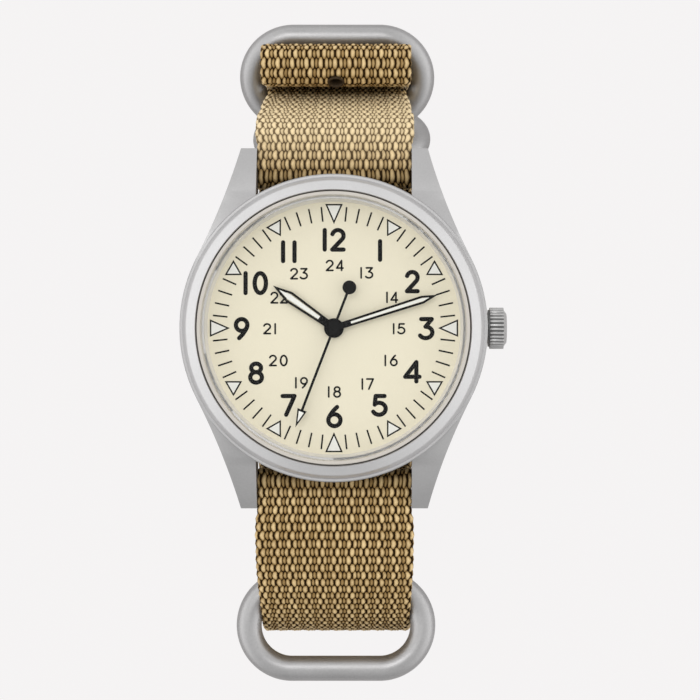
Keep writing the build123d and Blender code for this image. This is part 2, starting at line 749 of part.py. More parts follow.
# Bridge screws: slotted heads in the counterbores, shanks down into the plate
with BuildPart() as bridge_screws:
    with BuildSketch(Plane.XY.offset(-bridge_foot_depth)):
        with Locations(*train_foot_places, *barrel_foot_places, cock_foot_place):
            RegularPolygon(screw_radius, fine_sides)
    extrude(amount=screw_head_height)
    with BuildSketch(Plane.XY.offset(-bridge_foot_depth)):
        with Locations(*train_foot_places, *barrel_foot_places, cock_foot_place):
            RegularPolygon(screw_shank_radius, fine_sides)
    extrude(amount=bridge_foot_depth - plate_foot_depth + plate_thickness / 2)
    with BuildSketch(Plane.XY.offset(-bridge_foot_depth)):
        with Locations(*train_foot_places, *barrel_foot_places, cock_foot_place):
            Rectangle(2 * screw_radius, screw_slot_width)
    extrude(amount=screw_slot_sink, mode=Mode.SUBTRACT)
finish(bridge_screws.part, "bridge_screws")

with BuildPart() as pallet_screw:
    with BuildSketch(Plane.XY.offset(-pallet_cock_foot_depth)):
        with Locations(pallet_foot_place):
            RegularPolygon(screw_shank_radius, fine_sides)
    extrude(amount=pallet_cock_foot_depth - plate_foot_depth + plate_thickness / 2)
    with BuildSketch(Plane.XY.offset(-pallet_cock_foot_depth)):
        with Locations(pallet_foot_place):
            Rectangle(2 * screw_shank_radius, screw_slot_width)
    extrude(amount=screw_slot_sink / 2, mode=Mode.SUBTRACT)
finish(pallet_screw.part, "pallet_screw")

# Jewels: pierced discs pressed into the plate and the bridges
with BuildPart() as jewels:
    with BuildSketch(Plane.XY.offset(-plate_foot_depth)):
        with Locations(*jewelled_places, (pallet_x, pallet_y)):
            RegularPolygon(jewel_radius, fine_sides)
            RegularPolygon(pivot_radius + running_gap, fine_sides, mode=Mode.SUBTRACT)
    extrude(amount=jewel_thickness)
    with BuildSketch(Plane.XY.offset(-bridge_depth)):
        with Locations(*jewelled_places, (0, 0)):
            RegularPolygon(jewel_radius, fine_sides)
            RegularPolygon(pivot_radius + running_gap, fine_sides, mode=Mode.SUBTRACT)
    extrude(amount=-jewel_thickness)
finish(jewels.part, "jewels")


def gear_face(plane, teeth, pitch_radius, phase):
    """A solid toothed face."""
    with BuildSketch(plane) as gear:
        with BuildLine():
            Polyline(*gear_points(teeth, pitch_radius, phase), close=True)
        make_face()
    return gear.sketch


def wheel_face(plane, teeth, pitch_radius, phase, spokes):
    """A toothed face with a rim, a hub and spokes."""
    rim = wheel_rim_share * pitch_radius
    hub_angle = 180 / spokes - degrees(asin(spoke_width / 2 / wheel_hub_radius))
    rim_angle = 180 / spokes - degrees(asin(spoke_width / 2 / rim))
    opening = [at_angle(wheel_hub_radius, -hub_angle), at_angle(rim, -rim_angle), at_angle(rim, 0)]
    opening += [at_angle(rim, rim_angle), at_angle(wheel_hub_radius, hub_angle)]
    with BuildSketch(plane) as wheel:
        with BuildLine():
            Polyline(*gear_points(teeth, pitch_radius, phase), close=True)
        make_face()
        with PolarLocations(0, spokes):
            Polygon(*opening, align=None, mode=Mode.SUBTRACT)
    return wheel.sketch


def disc_face(plane, radius, bore=0.0):
    """A round face, pierced if a bore is given."""
    with BuildSketch(plane) as disc:
        Circle(radius)
        if bore:
            Circle(bore, mode=Mode.SUBTRACT)
    return disc.sketch


def fine_face(plane, radius, bore=0.0):
    """A small hidden round, drawn with flats."""
    with BuildSketch(plane) as disc:
        RegularPolygon(radius, fine_sides)
        if bore:
            RegularPolygon(bore, fine_sides, mode=Mode.SUBTRACT)
    return disc.sketch


def wide_face(plane, radius, bore=0.0):
    """A wide hidden round, drawn with flats."""
    with BuildSketch(plane) as disc:
        RegularPolygon(radius, wide_sides)
        if bore:
            RegularPolygon(bore, fine_sides, mode=Mode.SUBTRACT)
    return disc.sketch


def level(x, y, depth):
    """The plane of a wheel's face nearest the dial."""
    return Plane(origin=(x, y, -depth))


def stem_plane(x):
    """The plane across the stem at this x."""
    return Plane(origin=(x, 0, -stem_depth), x_dir=(0, 1, 0), z_dir=(1, 0, 0))


# Centre wheel: its pinion meets the barrel, its hollow arbor carries the cannon pinion
wheel_spokes = 5
fourth_pinion_drop = 0.73
escape_pinion_drop = 1.26
centre_arbor_rise = 0.3  # above the dial
centre_arbor_top = dial_depth - centre_arbor_rise
third_pinion_length = 0.3
fourth_pinion_depth = plate_foot_depth + fourth_pinion_drop
fourth_pinion_length = 0.36
escape_pinion_depth = plate_foot_depth + escape_pinion_drop
escape_pinion_length = 0.28
minute_phase = minute_wheel_angle
barrel_phase = facing_phase(barrel_angle + 180, barrel_teeth)

with BuildPart() as centre_wheel:
    extrude(wheel_face(level(0, 0, centre_wheel_depth), centre_wheel_teeth, centre_wheel_radius, -90,
                       wheel_spokes),
            amount=-wheel_thickness)
    extrude(gear_face(level(0, 0, barrel_depth), centre_pinion_teeth, centre_pinion_radius, barrel_angle),
            amount=-barrel_rim_height)
    extrude(fine_face(level(0, 0, centre_arbor_top), centre_arbor_radius),
            amount=centre_arbor_top - barrel_depth)
    extrude(fine_face(level(0, 0, centre_arbor_top), seconds_arbor_radius + running_gap),
            amount=centre_arbor_top - bridge_depth, mode=Mode.SUBTRACT)
finish(centre_wheel.part, "centre_wheel")

with BuildPart() as third_wheel:
    extrude(gear_face(level(third_x, third_y, arbor_top_depth), third_pinion_teeth, third_pinion_radius,
                      facing_phase(90, third_pinion_teeth)), amount=-third_pinion_length)
    extrude(wheel_face(level(third_x, third_y, third_wheel_depth), third_wheel_teeth, third_wheel_radius,
                       90, wheel_spokes), amount=-wheel_thickness)
    extrude(fine_face(level(third_x, third_y, arbor_top_depth), staff_radius),
            amount=arbor_top_depth - arbor_foot_depth)
    extrude(fine_face(level(third_x, third_y, pivot_top_depth), pivot_radius),
            amount=pivot_top_depth - pivot_foot_depth)
finish(third_wheel.part, "third_wheel")

# Fourth wheel: its long arbor runs up through the centre wheel to the seconds hand
with BuildPart() as fourth_wheel:
    extrude(gear_face(level(0, 0, fourth_pinion_depth), fourth_pinion_teeth, fourth_pinion_radius,
                      facing_phase(-90, fourth_pinion_teeth)), amount=-fourth_pinion_length)
    extrude(wheel_face(level(0, 0, fourth_wheel_depth), fourth_wheel_teeth, fourth_wheel_radius,
                       escape_angle, wheel_spokes), amount=-wheel_thickness)
    extrude(fine_face(level(0, 0, fourth_pinion_depth), staff_radius),
            amount=fourth_pinion_depth - arbor_foot_depth)
    extrude(fine_face(level(0, 0, seconds_hand_depth + hand_thickness), seconds_arbor_radius),
            amount=seconds_hand_depth + hand_thickness - pivot_foot_depth)
finish(fourth_wheel.part, "fourth_wheel")

# Escape wheel: leaning teeth on a thin rim
escape_lean = 0.55  # of a pitch, from a tooth's root to its tip
escape_tip_share = 0.18
escape_spokes = 4
escape_hub_radius = 0.6
escape_spoke_width = 0.3
escape_rim_share = 0.6

with BuildPart() as escape_wheel:
    with BuildSketch(level(escape_x, escape_y, escape_wheel_depth)):
        with BuildLine():
            escape_pitch = 360 / escape_wheel_teeth
            points = []
            for tooth in range(escape_wheel_teeth):
                start = escape_angle + tooth * escape_pitch
                points.append(at_angle(escape_radius * escape_root_share, start))
                points.append(at_angle(escape_radius, start + escape_lean * escape_pitch))
                points.append(at_angle(escape_radius,
                                       start + (escape_lean + escape_tip_share) * escape_pitch))
            Polyline(*points, close=True)
        make_face()
        Circle(escape_radius * escape_rim_share, mode=Mode.SUBTRACT)
        RegularPolygon(escape_hub_radius, fine_sides)
        with PolarLocations(escape_radius * escape_rim_share / 2, escape_spokes):
            Rectangle(escape_radius * escape_root_share, escape_spoke_width)
    extrude(amount=-wheel_thickness)
    extrude(gear_face(level(escape_x, escape_y, escape_pinion_depth), escape_pinion_teeth,
                      escape_pinion_radius,
                      facing_phase(escape_angle + 180, escape_pinion_teeth)), amount=-escape_pinion_length)
    extrude(fine_face(level(escape_x, escape_y, arbor_top_depth), staff_radius),
            amount=arbor_top_depth - arbor_foot_depth)
    extrude(fine_face(level(escape_x, escape_y, pivot_top_depth), pivot_radius),
            amount=pivot_top_depth - pivot_foot_depth)
finish(escape_wheel.part, "escape_wheel")

# Pallet fork: drawn with its own +X toward the escape wheel
pallet_plane = Plane(
    origin=(pallet_x, pallet_y, -escape_wheel_depth), x_dir=(-pallet_way[0], -pallet_way[1],
                                                             0), z_dir=(0, 0, 1)
)
stone_angle = 30.0  # either side of the line from the escape wheel to the fork
stone_gap = 0.03
stone_place = escape_radius + stone_gap
stone_x = pallet_distance - stone_place * cos(radians(stone_angle))
stone_y = stone_place * sin(radians(stone_angle))
fork_reach = pallet_way_length - pallet_distance - impulse_pin_distance
horn_y = impulse_pin_radius + fork_gap + fork_horn_width / 2

with BuildPart() as pallet_fork:
    with BuildSketch(pallet_plane):
        with BuildLine():
            Polyline((stone_x, stone_y), (0, 0), (stone_x, -stone_y))
        trace(line_width=lever_width)
        with BuildLine():
            Line((0, 0), (-fork_reach + fork_slot_depth, 0))
        trace(line_width=lever_width)
        with Locations((-fork_reach, horn_y), (-fork_reach, -horn_y)):
            Rectangle(2 * fork_slot_depth, fork_horn_width)
        with Locations((-fork_reach + fork_slot_depth, 0)):
            Rectangle(lever_width, 2 * horn_y + fork_horn_width)
    extrude(amount=-wheel_thickness)
    extrude(fine_face(level(pallet_x, pallet_y, arbor_top_depth), staff_radius),
            amount=arbor_top_depth - pallet_cock_depth + running_gap)
    extrude(fine_face(level(pallet_x, pallet_y, pivot_top_depth), pivot_radius),
            amount=pivot_top_depth - pallet_cock_foot_depth)
finish(pallet_fork.part, "pallet_fork")

# Balance: rim, arm, staff, roller and impulse pin
roller_depth = plate_foot_depth + roller_drop
pin_angle = degrees(atan2(pallet_y - balance_y, pallet_x - balance_x))

with BuildPart() as balance:
    with BuildSketch(level(balance_x, balance_y, balance_depth)):
        RegularPolygon(balance_radius, wide_sides)
        RegularPolygon(balance_radius - balance_rim_width, wide_sides, mode=Mode.SUBTRACT)
        Rectangle(2 * balance_radius - balance_rim_width, balance_arm_width, rotation=pin_angle)
        RegularPolygon(wheel_hub_radius, fine_sides)
    extrude(amount=-balance_rim_height)
    extrude(fine_face(level(balance_x, balance_y, arbor_top_depth), staff_radius),
            amount=arbor_top_depth - arbor_foot_depth)
    extrude(fine_face(level(balance_x, balance_y, pivot_top_depth), pivot_radius),
            amount=pivot_top_depth - pivot_foot_depth)
    extrude(fine_face(level(balance_x, balance_y, roller_depth), roller_radius), amount=-roller_thickness)
    with BuildSketch(level(balance_x, balance_y, roller_depth)):
        with Locations(at_angle(impulse_pin_distance, pin_angle)):
            RegularPolygon(impulse_pin_radius, fine_sides)
    extrude(amount=roller_depth - escape_wheel_depth)
finish(balance.part, "balance")

# Barrel: toothed drum, cover, arbor; the ratchet wheel turns the arbor
barrel_arbor_top = plate_foot_depth - plate_thickness / 2
ratchet_phase = degrees(atan2(crown_wheel_y - barrel_y, crown_wheel_x - barrel_x))

with BuildPart() as barrel_drum:
    extrude(gear_face(level(barrel_x, barrel_y, barrel_depth), barrel_teeth, barrel_radius, barrel_phase),
            amount=-barrel_rim_height)
    extrude(wide_face(level(barrel_x, barrel_y, barrel_depth), barrel_drum_radius),
            amount=-barrel_height + barrel_cover)
    extrude(wide_face(level(barrel_x, barrel_y, barrel_depth + barrel_cover),
                      barrel_drum_radius - barrel_wall),
            amount=-barrel_height, mode=Mode.SUBTRACT)
    extrude(fine_face(level(barrel_x, barrel_y, barrel_depth), stem_radius + running_gap),
            amount=-barrel_height, mode=Mode.SUBTRACT)
finish(barrel_drum.part, "barrel_drum")

with BuildPart() as barrel_lid:
    extrude(wide_face(level(barrel_x, barrel_y, barrel_depth + barrel_height - barrel_cover),
                      barrel_drum_radius,
                      stem_radius + running_gap), amount=-barrel_cover)
finish(barrel_lid.part, "barrel_lid")

with BuildPart() as barrel_arbor:
    extrude(fine_face(level(barrel_x, barrel_y, barrel_arbor_top), stem_radius),
            amount=barrel_arbor_top - ratchet_depth - ratchet_thickness)
    extrude(fine_face(level(barrel_x, barrel_y, barrel_depth + barrel_cover + running_gap),
                      barrel_core_radius),
            amount=2 * (barrel_cover + running_gap) - barrel_height)
finish(barrel_arbor.part, "barrel_arbor")

with BuildPart() as ratchet_wheel:
    extrude(gear_face(level(barrel_x, barrel_y, ratchet_depth), ratchet_teeth, ratchet_radius,
                      ratchet_phase),
            amount=-ratchet_thickness)
    extrude(fine_face(level(barrel_x, barrel_y, ratchet_depth), stem_radius),
            amount=-ratchet_thickness, mode=Mode.SUBTRACT)
finish(ratchet_wheel.part, "ratchet_wheel")

# Crown wheel: spur teeth for the ratchet wheel, face teeth for the winding pinion
face_tooth_width = 0.16

with BuildPart() as crown_wheel:
    extrude(gear_face(level(crown_wheel_x, crown_wheel_y, ratchet_depth), crown_wheel_teeth,
                      crown_wheel_radius,
                      facing_phase(ratchet_phase + 180, crown_wheel_teeth)), amount=-ratchet_thickness)
    with BuildSketch(level(crown_wheel_x, crown_wheel_y, ratchet_depth)):
        with PolarLocations(contrate_radius, crown_wheel_teeth, start_angle=180 / crown_wheel_teeth):
            Rectangle(contrate_width, face_tooth_width)
    extrude(amount=contrate_height)
    extrude(fine_face(level(crown_wheel_x, crown_wheel_y, ratchet_depth),
                      crown_wheel_post_radius + running_gap),
            amount=-ratchet_thickness, mode=Mode.SUBTRACT)
finish(crown_wheel.part, "crown_wheel")

# Click: pawl beside the ratchet wheel, lifted just clear of its teeth
click_nose_x, click_nose_y = at_angle(ratchet_tip_radius + running_gap, 118)
click_radius = 0.55
click_nose_radius = 0.2

with BuildPart() as click:
    with BuildSketch(Plane.XY.offset(-ratchet_depth)):
        with Locations((click_x, click_y)):
            Circle(click_radius)
        with Locations((barrel_x + click_nose_x, barrel_y + click_nose_y + click_nose_radius)):
            Circle(click_nose_radius)
        make_hull()
        with Locations((click_x, click_y)):
            RegularPolygon(click_post_radius + running_gap, fine_sides, mode=Mode.SUBTRACT)
    extrude(amount=-ratchet_thickness)
finish(click.part, "click")

# Winding pinion on the stem
with BuildPart() as winding_pinion:
    pinion_plane = stem_plane(crown_wheel_x + contrate_radius - winding_pinion_length / 2)
    extrude(gear_face(pinion_plane, winding_pinion_teeth, winding_pinion_radius, -90),
            amount=winding_pinion_length)
    extrude(fine_face(pinion_plane, stem_radius + running_gap), amount=winding_pinion_length,
            mode=Mode.SUBTRACT)
finish(winding_pinion.part, "winding_pinion")

# Motion works: cannon pinion, minute wheel and hour wheel
hour_wheel_depth = plate_depth + hour_wheel_drop
minute_wheel_depth = plate_depth + minute_wheel_drop

with BuildPart() as cannon_pinion:
    extrude(gear_face(level(0, 0, minute_wheel_depth), cannon_teeth, cannon_pinion_radius, minute_phase),
            amount=-minute_wheel_thickness)
    extrude(fine_face(level(0, 0, minute_hand_depth), cannon_radius),
            amount=minute_hand_depth - minute_wheel_depth - minute_wheel_thickness)
    extrude(fine_face(level(0, 0, minute_hand_depth), centre_arbor_radius),
            amount=minute_hand_depth - plate_foot_depth, mode=Mode.SUBTRACT)
finish(cannon_pinion.part, "cannon_pinion")

with BuildPart() as minute_wheel:
    minute_level = (minute_wheel_x, minute_wheel_y, minute_wheel_depth)
    pinion_level = (minute_wheel_x, minute_wheel_y, hour_wheel_depth)
    extrude(gear_face(level(*minute_level), minute_wheel_teeth, minute_wheel_radius,
                      facing_phase(minute_wheel_angle + 180,
                                   minute_wheel_teeth)), amount=-minute_wheel_thickness)
    extrude(gear_face(level(*pinion_level), minute_pinion_teeth, minute_pinion_radius,
                      minute_wheel_angle + 180),
            amount=hour_wheel_depth - minute_wheel_depth)
    extrude(fine_face(level(*pinion_level), minute_post_radius + running_gap),
            amount=-recess_depth, mode=Mode.SUBTRACT)
finish(minute_wheel.part, "minute_wheel")

with BuildPart() as hour_wheel:
    extrude(gear_face(level(0, 0, hour_wheel_depth), hour_wheel_teeth, hour_wheel_radius,
                      facing_phase(minute_wheel_angle, hour_wheel_teeth)), amount=-hour_wheel_thickness)
    extrude(fine_face(level(0, 0, hour_hand_depth), hour_pipe_radius),
            amount=hour_hand_depth - hour_wheel_depth)
    extrude(fine_face(level(0, 0, hour_hand_depth), cannon_radius + running_gap),
            amount=hour_hand_depth - plate_foot_depth, mode=Mode.SUBTRACT)
finish(hour_wheel.part, "hour_wheel")

# Hands, drawn along their own +X
def hand_plane(depth, angle):
    """The plane of a hand's upper face, with +X along the hand."""
    return Plane(origin=(0, 0, -depth), x_dir=(sin(radians(angle)), cos(radians(angle)), 0), z_dir=(0, 0, 1))


def hand_face(plane, length, shoulder, root_width, width, hub, bore):
    """A pointed hand with a hub."""
    with BuildSketch(plane) as hand:
        with BuildLine():
            Polyline(
                (0, root_width / 2),
                (shoulder, width / 2),
                (length, 0),
                (shoulder, -width / 2),
                (0, -root_width / 2),
                close=True,
            )
        make_face()
        Circle(hub)
        Circle(bore, mode=Mode.SUBTRACT)
    return hand.sketch


def slot_face(plane, length, shoulder, root_width, width):
    """The opening in a hand, one frame's width inside its outline."""
    start_width = root_width + (width - root_width) * hand_slot_start / shoulder
    slot_tip = shoulder + (length - shoulder) * (1 - 2 * hand_frame / width)
    with BuildSketch(plane) as slot:
        with BuildLine():
            Polyline(
                (hand_slot_start, start_width / 2 - hand_frame),
                (shoulder, width / 2 - hand_frame),
                (slot_tip, 0),
                (shoulder, hand_frame - width / 2),
                (hand_slot_start, hand_frame - start_width / 2),
                close=True,
            )
        make_face()
    return slot.sketch


hour_plane = hand_plane(hour_hand_depth, hour_hand_angle)
hour_sizes = (hour_hand_length, hour_hand_shoulder, hour_hand_root_width, hour_hand_width)
minute_plane = hand_plane(minute_hand_depth, minute_hand_angle)
minute_sizes = (minute_hand_length, minute_hand_shoulder, minute_hand_root_width, minute_hand_width)

with BuildPart() as hour_hand:
    extrude(hand_face(hour_plane, *hour_sizes, hour_hub_radius, hour_pipe_radius), amount=-hand_thickness)
    extrude(slot_face(hour_plane, *hour_sizes), amount=-hand_thickness, mode=Mode.SUBTRACT)
finish(hour_hand.part, "hour_hand")

with BuildPart() as hour_lume:
    extrude(slot_face(hour_plane, *hour_sizes), amount=-hand_thickness)
finish(hour_lume.part, "hour_lume")

with BuildPart() as minute_hand:
    extrude(hand_face(minute_plane, *minute_sizes, minute_hub_radius, cannon_radius), amount=-hand_thickness)
    extrude(slot_face(minute_plane, *minute_sizes), amount=-hand_thickness, mode=Mode.SUBTRACT)
finish(minute_hand.part, "minute_hand")

with BuildPart() as minute_lume:
    extrude(slot_face(minute_plane, *minute_sizes), amount=-hand_thickness)
finish(minute_lume.part, "minute_lume")

with BuildPart() as seconds_hand:
    with BuildSketch(hand_plane(seconds_hand_depth, seconds_hand_angle)):
        Circle(seconds_hub_radius)
        with Locations(((seconds_arrow_start - seconds_tail_length) / 2, 0)):
            Rectangle(seconds_arrow_start + seconds_tail_length, seconds_hand_width)
        with Locations((-seconds_tail_length, 0)):
            Circle(seconds_tail_radius)
        with BuildLine():
            Polyline(
                (seconds_arrow_start, seconds_arrow_width / 2),
                (seconds_hand_length, 0),
                (seconds_arrow_start, -seconds_arrow_width / 2),
                close=True,
            )
        make_face()
    extrude(amount=-hand_thickness)
finish(seconds_hand.part, "seconds_hand")

# Crown: fluted cap with a domed end, a cavity for the tube and a socket for the stem
crown_socket_length = 0.35
crown_foot_step = 0.2
tube_end = crown_start + crown_cavity_length - crown_foot_step
flute_tip_share = 0.3
flute_root_share = 0.8

with BuildPart() as crown:
    with BuildSketch(Plane.XZ):
        with BuildLine():
            root_radius = crown_radius - crown_flute_sink
            dome_radius = root_radius - crown_foot_step / 2
            foot = (crown_start, -stem_depth)
            base = Line(foot, (crown_start, dome_radius - stem_depth))
            side = Line(base @ 1, (crown_start + crown_length - crown_dome_sink, dome_radius - stem_depth))
            end_face = (crown_start + crown_length, crown_face_radius - stem_depth)
            Line(side @ 1, end_face)
            Line(end_face, (crown_start + crown_length, -stem_depth))
            Line((crown_start + crown_length, -stem_depth), foot)
        make_face()
    revolve(axis=Axis((crown_start, 0, -stem_depth), (1, 0, 0)))
    with BuildSketch(stem_plane(crown_start + crown_foot_step)):
        with BuildLine():
            half_flute = 180 / crown_flutes
            points = []
            for flute in range(crown_flutes):
                middle = flute * 2 * half_flute
                points.append(at_angle(root_radius, middle - flute_root_share * half_flute))
                points.append(at_angle(crown_radius, middle - flute_tip_share * half_flute))
                points.append(at_angle(crown_radius, middle + flute_tip_share * half_flute))
                points.append(at_angle(root_radius, middle + flute_root_share * half_flute))
            Polyline(*points, close=True)
        make_face()
    extrude(amount=crown_length - crown_dome_sink - crown_foot_step)
    extrude(disc_face(stem_plane(crown_start), crown_cavity_radius), amount=crown_cavity_length,
            mode=Mode.SUBTRACT)
    extrude(fine_face(stem_plane(crown_start), stem_radius),
            amount=crown_cavity_length + crown_socket_length,
            mode=Mode.SUBTRACT)
finish(crown.part, "crown")

with BuildPart() as crown_tube:
    extrude(fine_face(stem_plane(tube_in), tube_radius, tube_radius - tube_wall), amount=tube_end - tube_in)
finish(crown_tube.part, "crown_tube")

with BuildPart() as crown_gasket:
    extrude(disc_face(stem_plane(crown_start + layer_gap), crown_cavity_radius - running_gap,
                      tube_radius + running_gap), amount=crown_gasket_length)
finish(crown_gasket.part, "crown_gasket")

with BuildPart() as stem:
    extrude(fine_face(stem_plane(stem_inner_start), stem_radius),
            amount=crown_start + crown_cavity_length + crown_socket_length - stem_inner_start)
finish(stem.part, "stem")

# Spring bars: a tube with two sprung tips in each lug gap
flange_length = 0.3
flange_start = lug_inner_x - layer_gap / 2 - flange_length
bar_half_length = flange_start - bar_tip_travel - layer_gap
bar_bore_end = 1.0
tip_inner_end = flange_start - bar_tip_length

for side, name in ((1, "12"), (-1, "6")):
    with BuildPart() as spring_bar:
        bar_plane = Plane(origin=(0, side * bar_y, -bar_depth), x_dir=(0, 1, 0), z_dir=(1, 0, 0))
        extrude(fine_face(bar_plane, bar_radius), amount=bar_half_length, both=True)
        extrude(fine_face(bar_plane.offset(bar_bore_end), bar_tip_radius + running_gap),
                amount=bar_half_length, mode=Mode.SUBTRACT)
        extrude(fine_face(bar_plane.offset(-bar_bore_end), bar_tip_radius + running_gap),
                amount=-bar_half_length, mode=Mode.SUBTRACT)
    finish(spring_bar.part, f"spring_bar_{name}")
    for way, hand in ((1, "right"), (-1, "left")):
        with BuildPart() as bar_tip:
            extrude(fine_face(bar_plane.offset(way * tip_inner_end), bar_tip_radius),
                    amount=way * (lug_inner_x + bar_tip_reach - tip_inner_end))
            extrude(fine_face(bar_plane.offset(way * flange_start), bar_shoulder_radius),
                    amount=way * flange_length)
        finish(bar_tip.part, f"bar_tip_{name}_{hand}")

# Strap: the long band is one path, seen from the crown's side as (y, z)
buckle_bar_y = 6.5
tail_dip_back = 13.5  # from the buckle's bar to where the tail dips under the far rod
tail_rise_back = 3.5
shoulder_out_12 = 2.1  # the strap's corners, counted out from the lug tips
side_out_12 = 10.3
foot_out_12 = 6.2
shoulder_out_6 = 17.15
foot_out_6 = 12.7
foot_rise_6 = 0.8
under_case_z = -(back_depth + layer_gap + strap_thickness / 2)
over_bar_z = layer_gap + bar_radius + strap_thickness / 2 - bar_depth
bar_side_y = bar_y - bar_radius - layer_gap - strap_thickness / 2 - ring_fit / 2
layer_pitch = strap_thickness + layer_gap
wrist_height = 39.0  # from the strap under the case to the strap behind the wrist
side_rise_share = 0.6077  # of the wrist's height
side_radius_share = 0.4103
foot_radius_share = 0.3077
six_foot_share = 0.3333
ring_a_share = 0.4077
bottom_z = under_case_z - wrist_height
fold_radius = buckle_wire / 2 + layer_gap + strap_thickness / 2
buckle_bar = (buckle_bar_y, bottom_z + fold_radius)
fold_y = buckle_bar[0] - fold_radius
turn_radius = strap_thickness
twelve_shoulder = (lug_tip_y + shoulder_out_12, over_bar_z)
twelve_side = (lug_tip_y + side_out_12, bottom_z + side_rise_share * wrist_height)
twelve_foot = (lug_tip_y + foot_out_12, bottom_z)
six_shoulder = (-lug_tip_y - shoulder_out_6, over_bar_z)
six_foot = (-lug_tip_y - foot_out_6, bottom_z + foot_rise_6)
tail_dip = (buckle_bar_y - tail_dip_back, bottom_z + foot_rise_6)
tail_rise = (buckle_bar_y - tail_rise_back, bottom_z - layer_pitch)
shoulder_radius = 6.0
side_radius = side_radius_share * wrist_height
foot_radius_12 = foot_radius_share * wrist_height
six_shoulder_radius = 14.6
six_foot_radius = six_foot_share * wrist_height
dip_radius = 10.0


def beside(points, distance):
    """The same chain of corners, moved to its right by a distance."""
    ways = []
    for (y0, z0), (y1, z1) in zip(points, points[1:]):
        length = hypot(y1 - y0, z1 - z0)
        ways.append(((z1 - z0) / length, (y0 - y1) / length))
    moved = [(points[0][0] + ways[0][0] * distance, points[0][1] + ways[0][1] * distance)]
    for corner, before, after in zip(points[1:], ways, ways[1:]):
        stretch = distance / (1 + before[0] * after[0] + before[1] * after[1])
        moved.append((corner[0] + (before[0] + after[0]) * stretch,
                      corner[1] + (before[1] + after[1]) * stretch))
    last = points[-1]
    moved.append((last[0] + ways[-1][0] * distance, last[1] + ways[-1][1] * distance))
    return moved


# Ring A sits on the straight run below the 12 o'clock shoulder; down and out are that run's directions
run_length = hypot(twelve_side[0] - twelve_shoulder[0], twelve_side[1] - twelve_shoulder[1])
down = ((twelve_side[0] - twelve_shoulder[0]) / run_length,
        (twelve_side[1] - twelve_shoulder[1]) / run_length)
out = (-down[1], down[0])
ring_a_drop = ring_a_share * wrist_height
ring_a_spot = (twelve_shoulder[0] + down[0] * ring_a_drop, twelve_shoulder[1] + down[1] * ring_a_drop)


def near_ring_a(outward, downward):
    """A point given from where the run passes through ring A."""
    return (
        ring_a_spot[0] + out[0] * outward + down[0] * downward,
        ring_a_spot[1] + out[1] * outward + down[1] * downward,
    )


flap_length = 9.0
roll_top = -6.9
roll_lean_start = -1.9
roll_in = 3.0
roll_lean_radius = 3.0
roll_out = 6.3
roll_foot = -3.4
roll_neck = -1.6
return_offset = 3.6
roll_radius = 1.55
tail_return = 12.0

outer_chain = beside([(fold_y, bottom_z), twelve_foot, twelve_side, twelve_shoulder], layer_pitch)
return_chain = beside([twelve_foot, twelve_side, twelve_shoulder], return_offset)
long_path = [
    ((buckle_bar[0] + flap_length + fold_radius, bottom_z + layer_pitch), 0),
    ((buckle_bar[0] + 2 * fold_radius, bottom_z + layer_pitch), turn_radius),
    ((buckle_bar[0] + fold_radius, buckle_bar[1] + fold_radius), turn_radius),
    ((fold_y, buckle_bar[1] + fold_radius), fold_radius - tiny),
    ((fold_y, bottom_z), fold_radius - tiny),
    (twelve_foot, foot_radius_12),
    (twelve_side, side_radius),
    (twelve_shoulder, shoulder_radius),
    ((bar_side_y, over_bar_z), turn_radius),
    ((bar_side_y, under_case_z), turn_radius),
    ((-bar_side_y, under_case_z), turn_radius),
    ((-bar_side_y, over_bar_z), turn_radius),
    (six_shoulder, six_shoulder_radius),
    (six_foot, six_foot_radius),
    (tail_dip, dip_radius),
    (tail_rise, dip_radius),
    (outer_chain[1], foot_radius_12 + layer_pitch),
    (outer_chain[2], side_radius + layer_pitch),
    (near_ring_a(layer_pitch, roll_lean_start), roll_lean_radius),
    (near_ring_a(roll_in, roll_top), roll_radius),
    (near_ring_a(roll_out, roll_top), roll_radius),
    (near_ring_a(roll_out, roll_foot), roll_radius),
    (near_ring_a(return_offset, roll_neck), strap_thickness),
    (return_chain[1], side_radius),
    ((return_chain[1][0] + (return_chain[0][0] - return_chain[1][0]) * tail_return / run_length,
      return_chain[1][1] + (return_chain[0][1] - return_chain[1][1]) * tail_return / run_length), 0),
]


def band_face(path):
    """The band's edge-on face along a path of corners and radii."""
    with BuildSketch(Plane.YZ.offset(-strap_width / 2)) as band:
        with BuildLine():
            FilletPolyline(*[corner for corner, radius in path],
                           radius=[radius for corner, radius in path[1:-1]])
        trace(line_width=strap_thickness)
    return band.sketch


def side_box(centre, turn, size):
    """A turned rectangle seen from the crown's side, outside the waist at +X."""
    with BuildSketch(Plane.YZ.offset(waist_x)) as box:
        with Locations(centre):
            Rectangle(*size, rotation=turn)
    return box.sketch


# The rings pinch the webbing: its edges step in where it passes through one
waist_margin = 1.05  # inside the ring's end
waist_x = ring_width / 2 - ring_wire - waist_margin
waist_length = 7.0
waist_span = 9.0
ring_shift = 1.83  # from the long strap's first layer out to the ring's middle
ring_b_angle = -50.0
ring_c_out = 9.5  # from the lug tips to the bar that the short strap holds
short_z = under_case_z - layer_pitch
loop_radius = ring_wire / 2 + layer_gap + strap_thickness / 2
ring_c_bar = (-lug_tip_y - ring_c_out, short_z - loop_radius)
ring_reach = ring_height - ring_wire
run_turn = degrees(atan2(out[1], out[0]))
side_length = hypot(twelve_side[0] - twelve_foot[0], twelve_side[1] - twelve_foot[1])
side_way = ((twelve_side[0] - twelve_foot[0]) / side_length, (twelve_side[1] - twelve_foot[1]) / side_length)
foot_half_angle = atan2(side_way[1], -side_way[0]) / 2
foot_centre = (twelve_foot[0] - foot_radius_12 / tan(foot_half_angle), bottom_z + foot_radius_12)


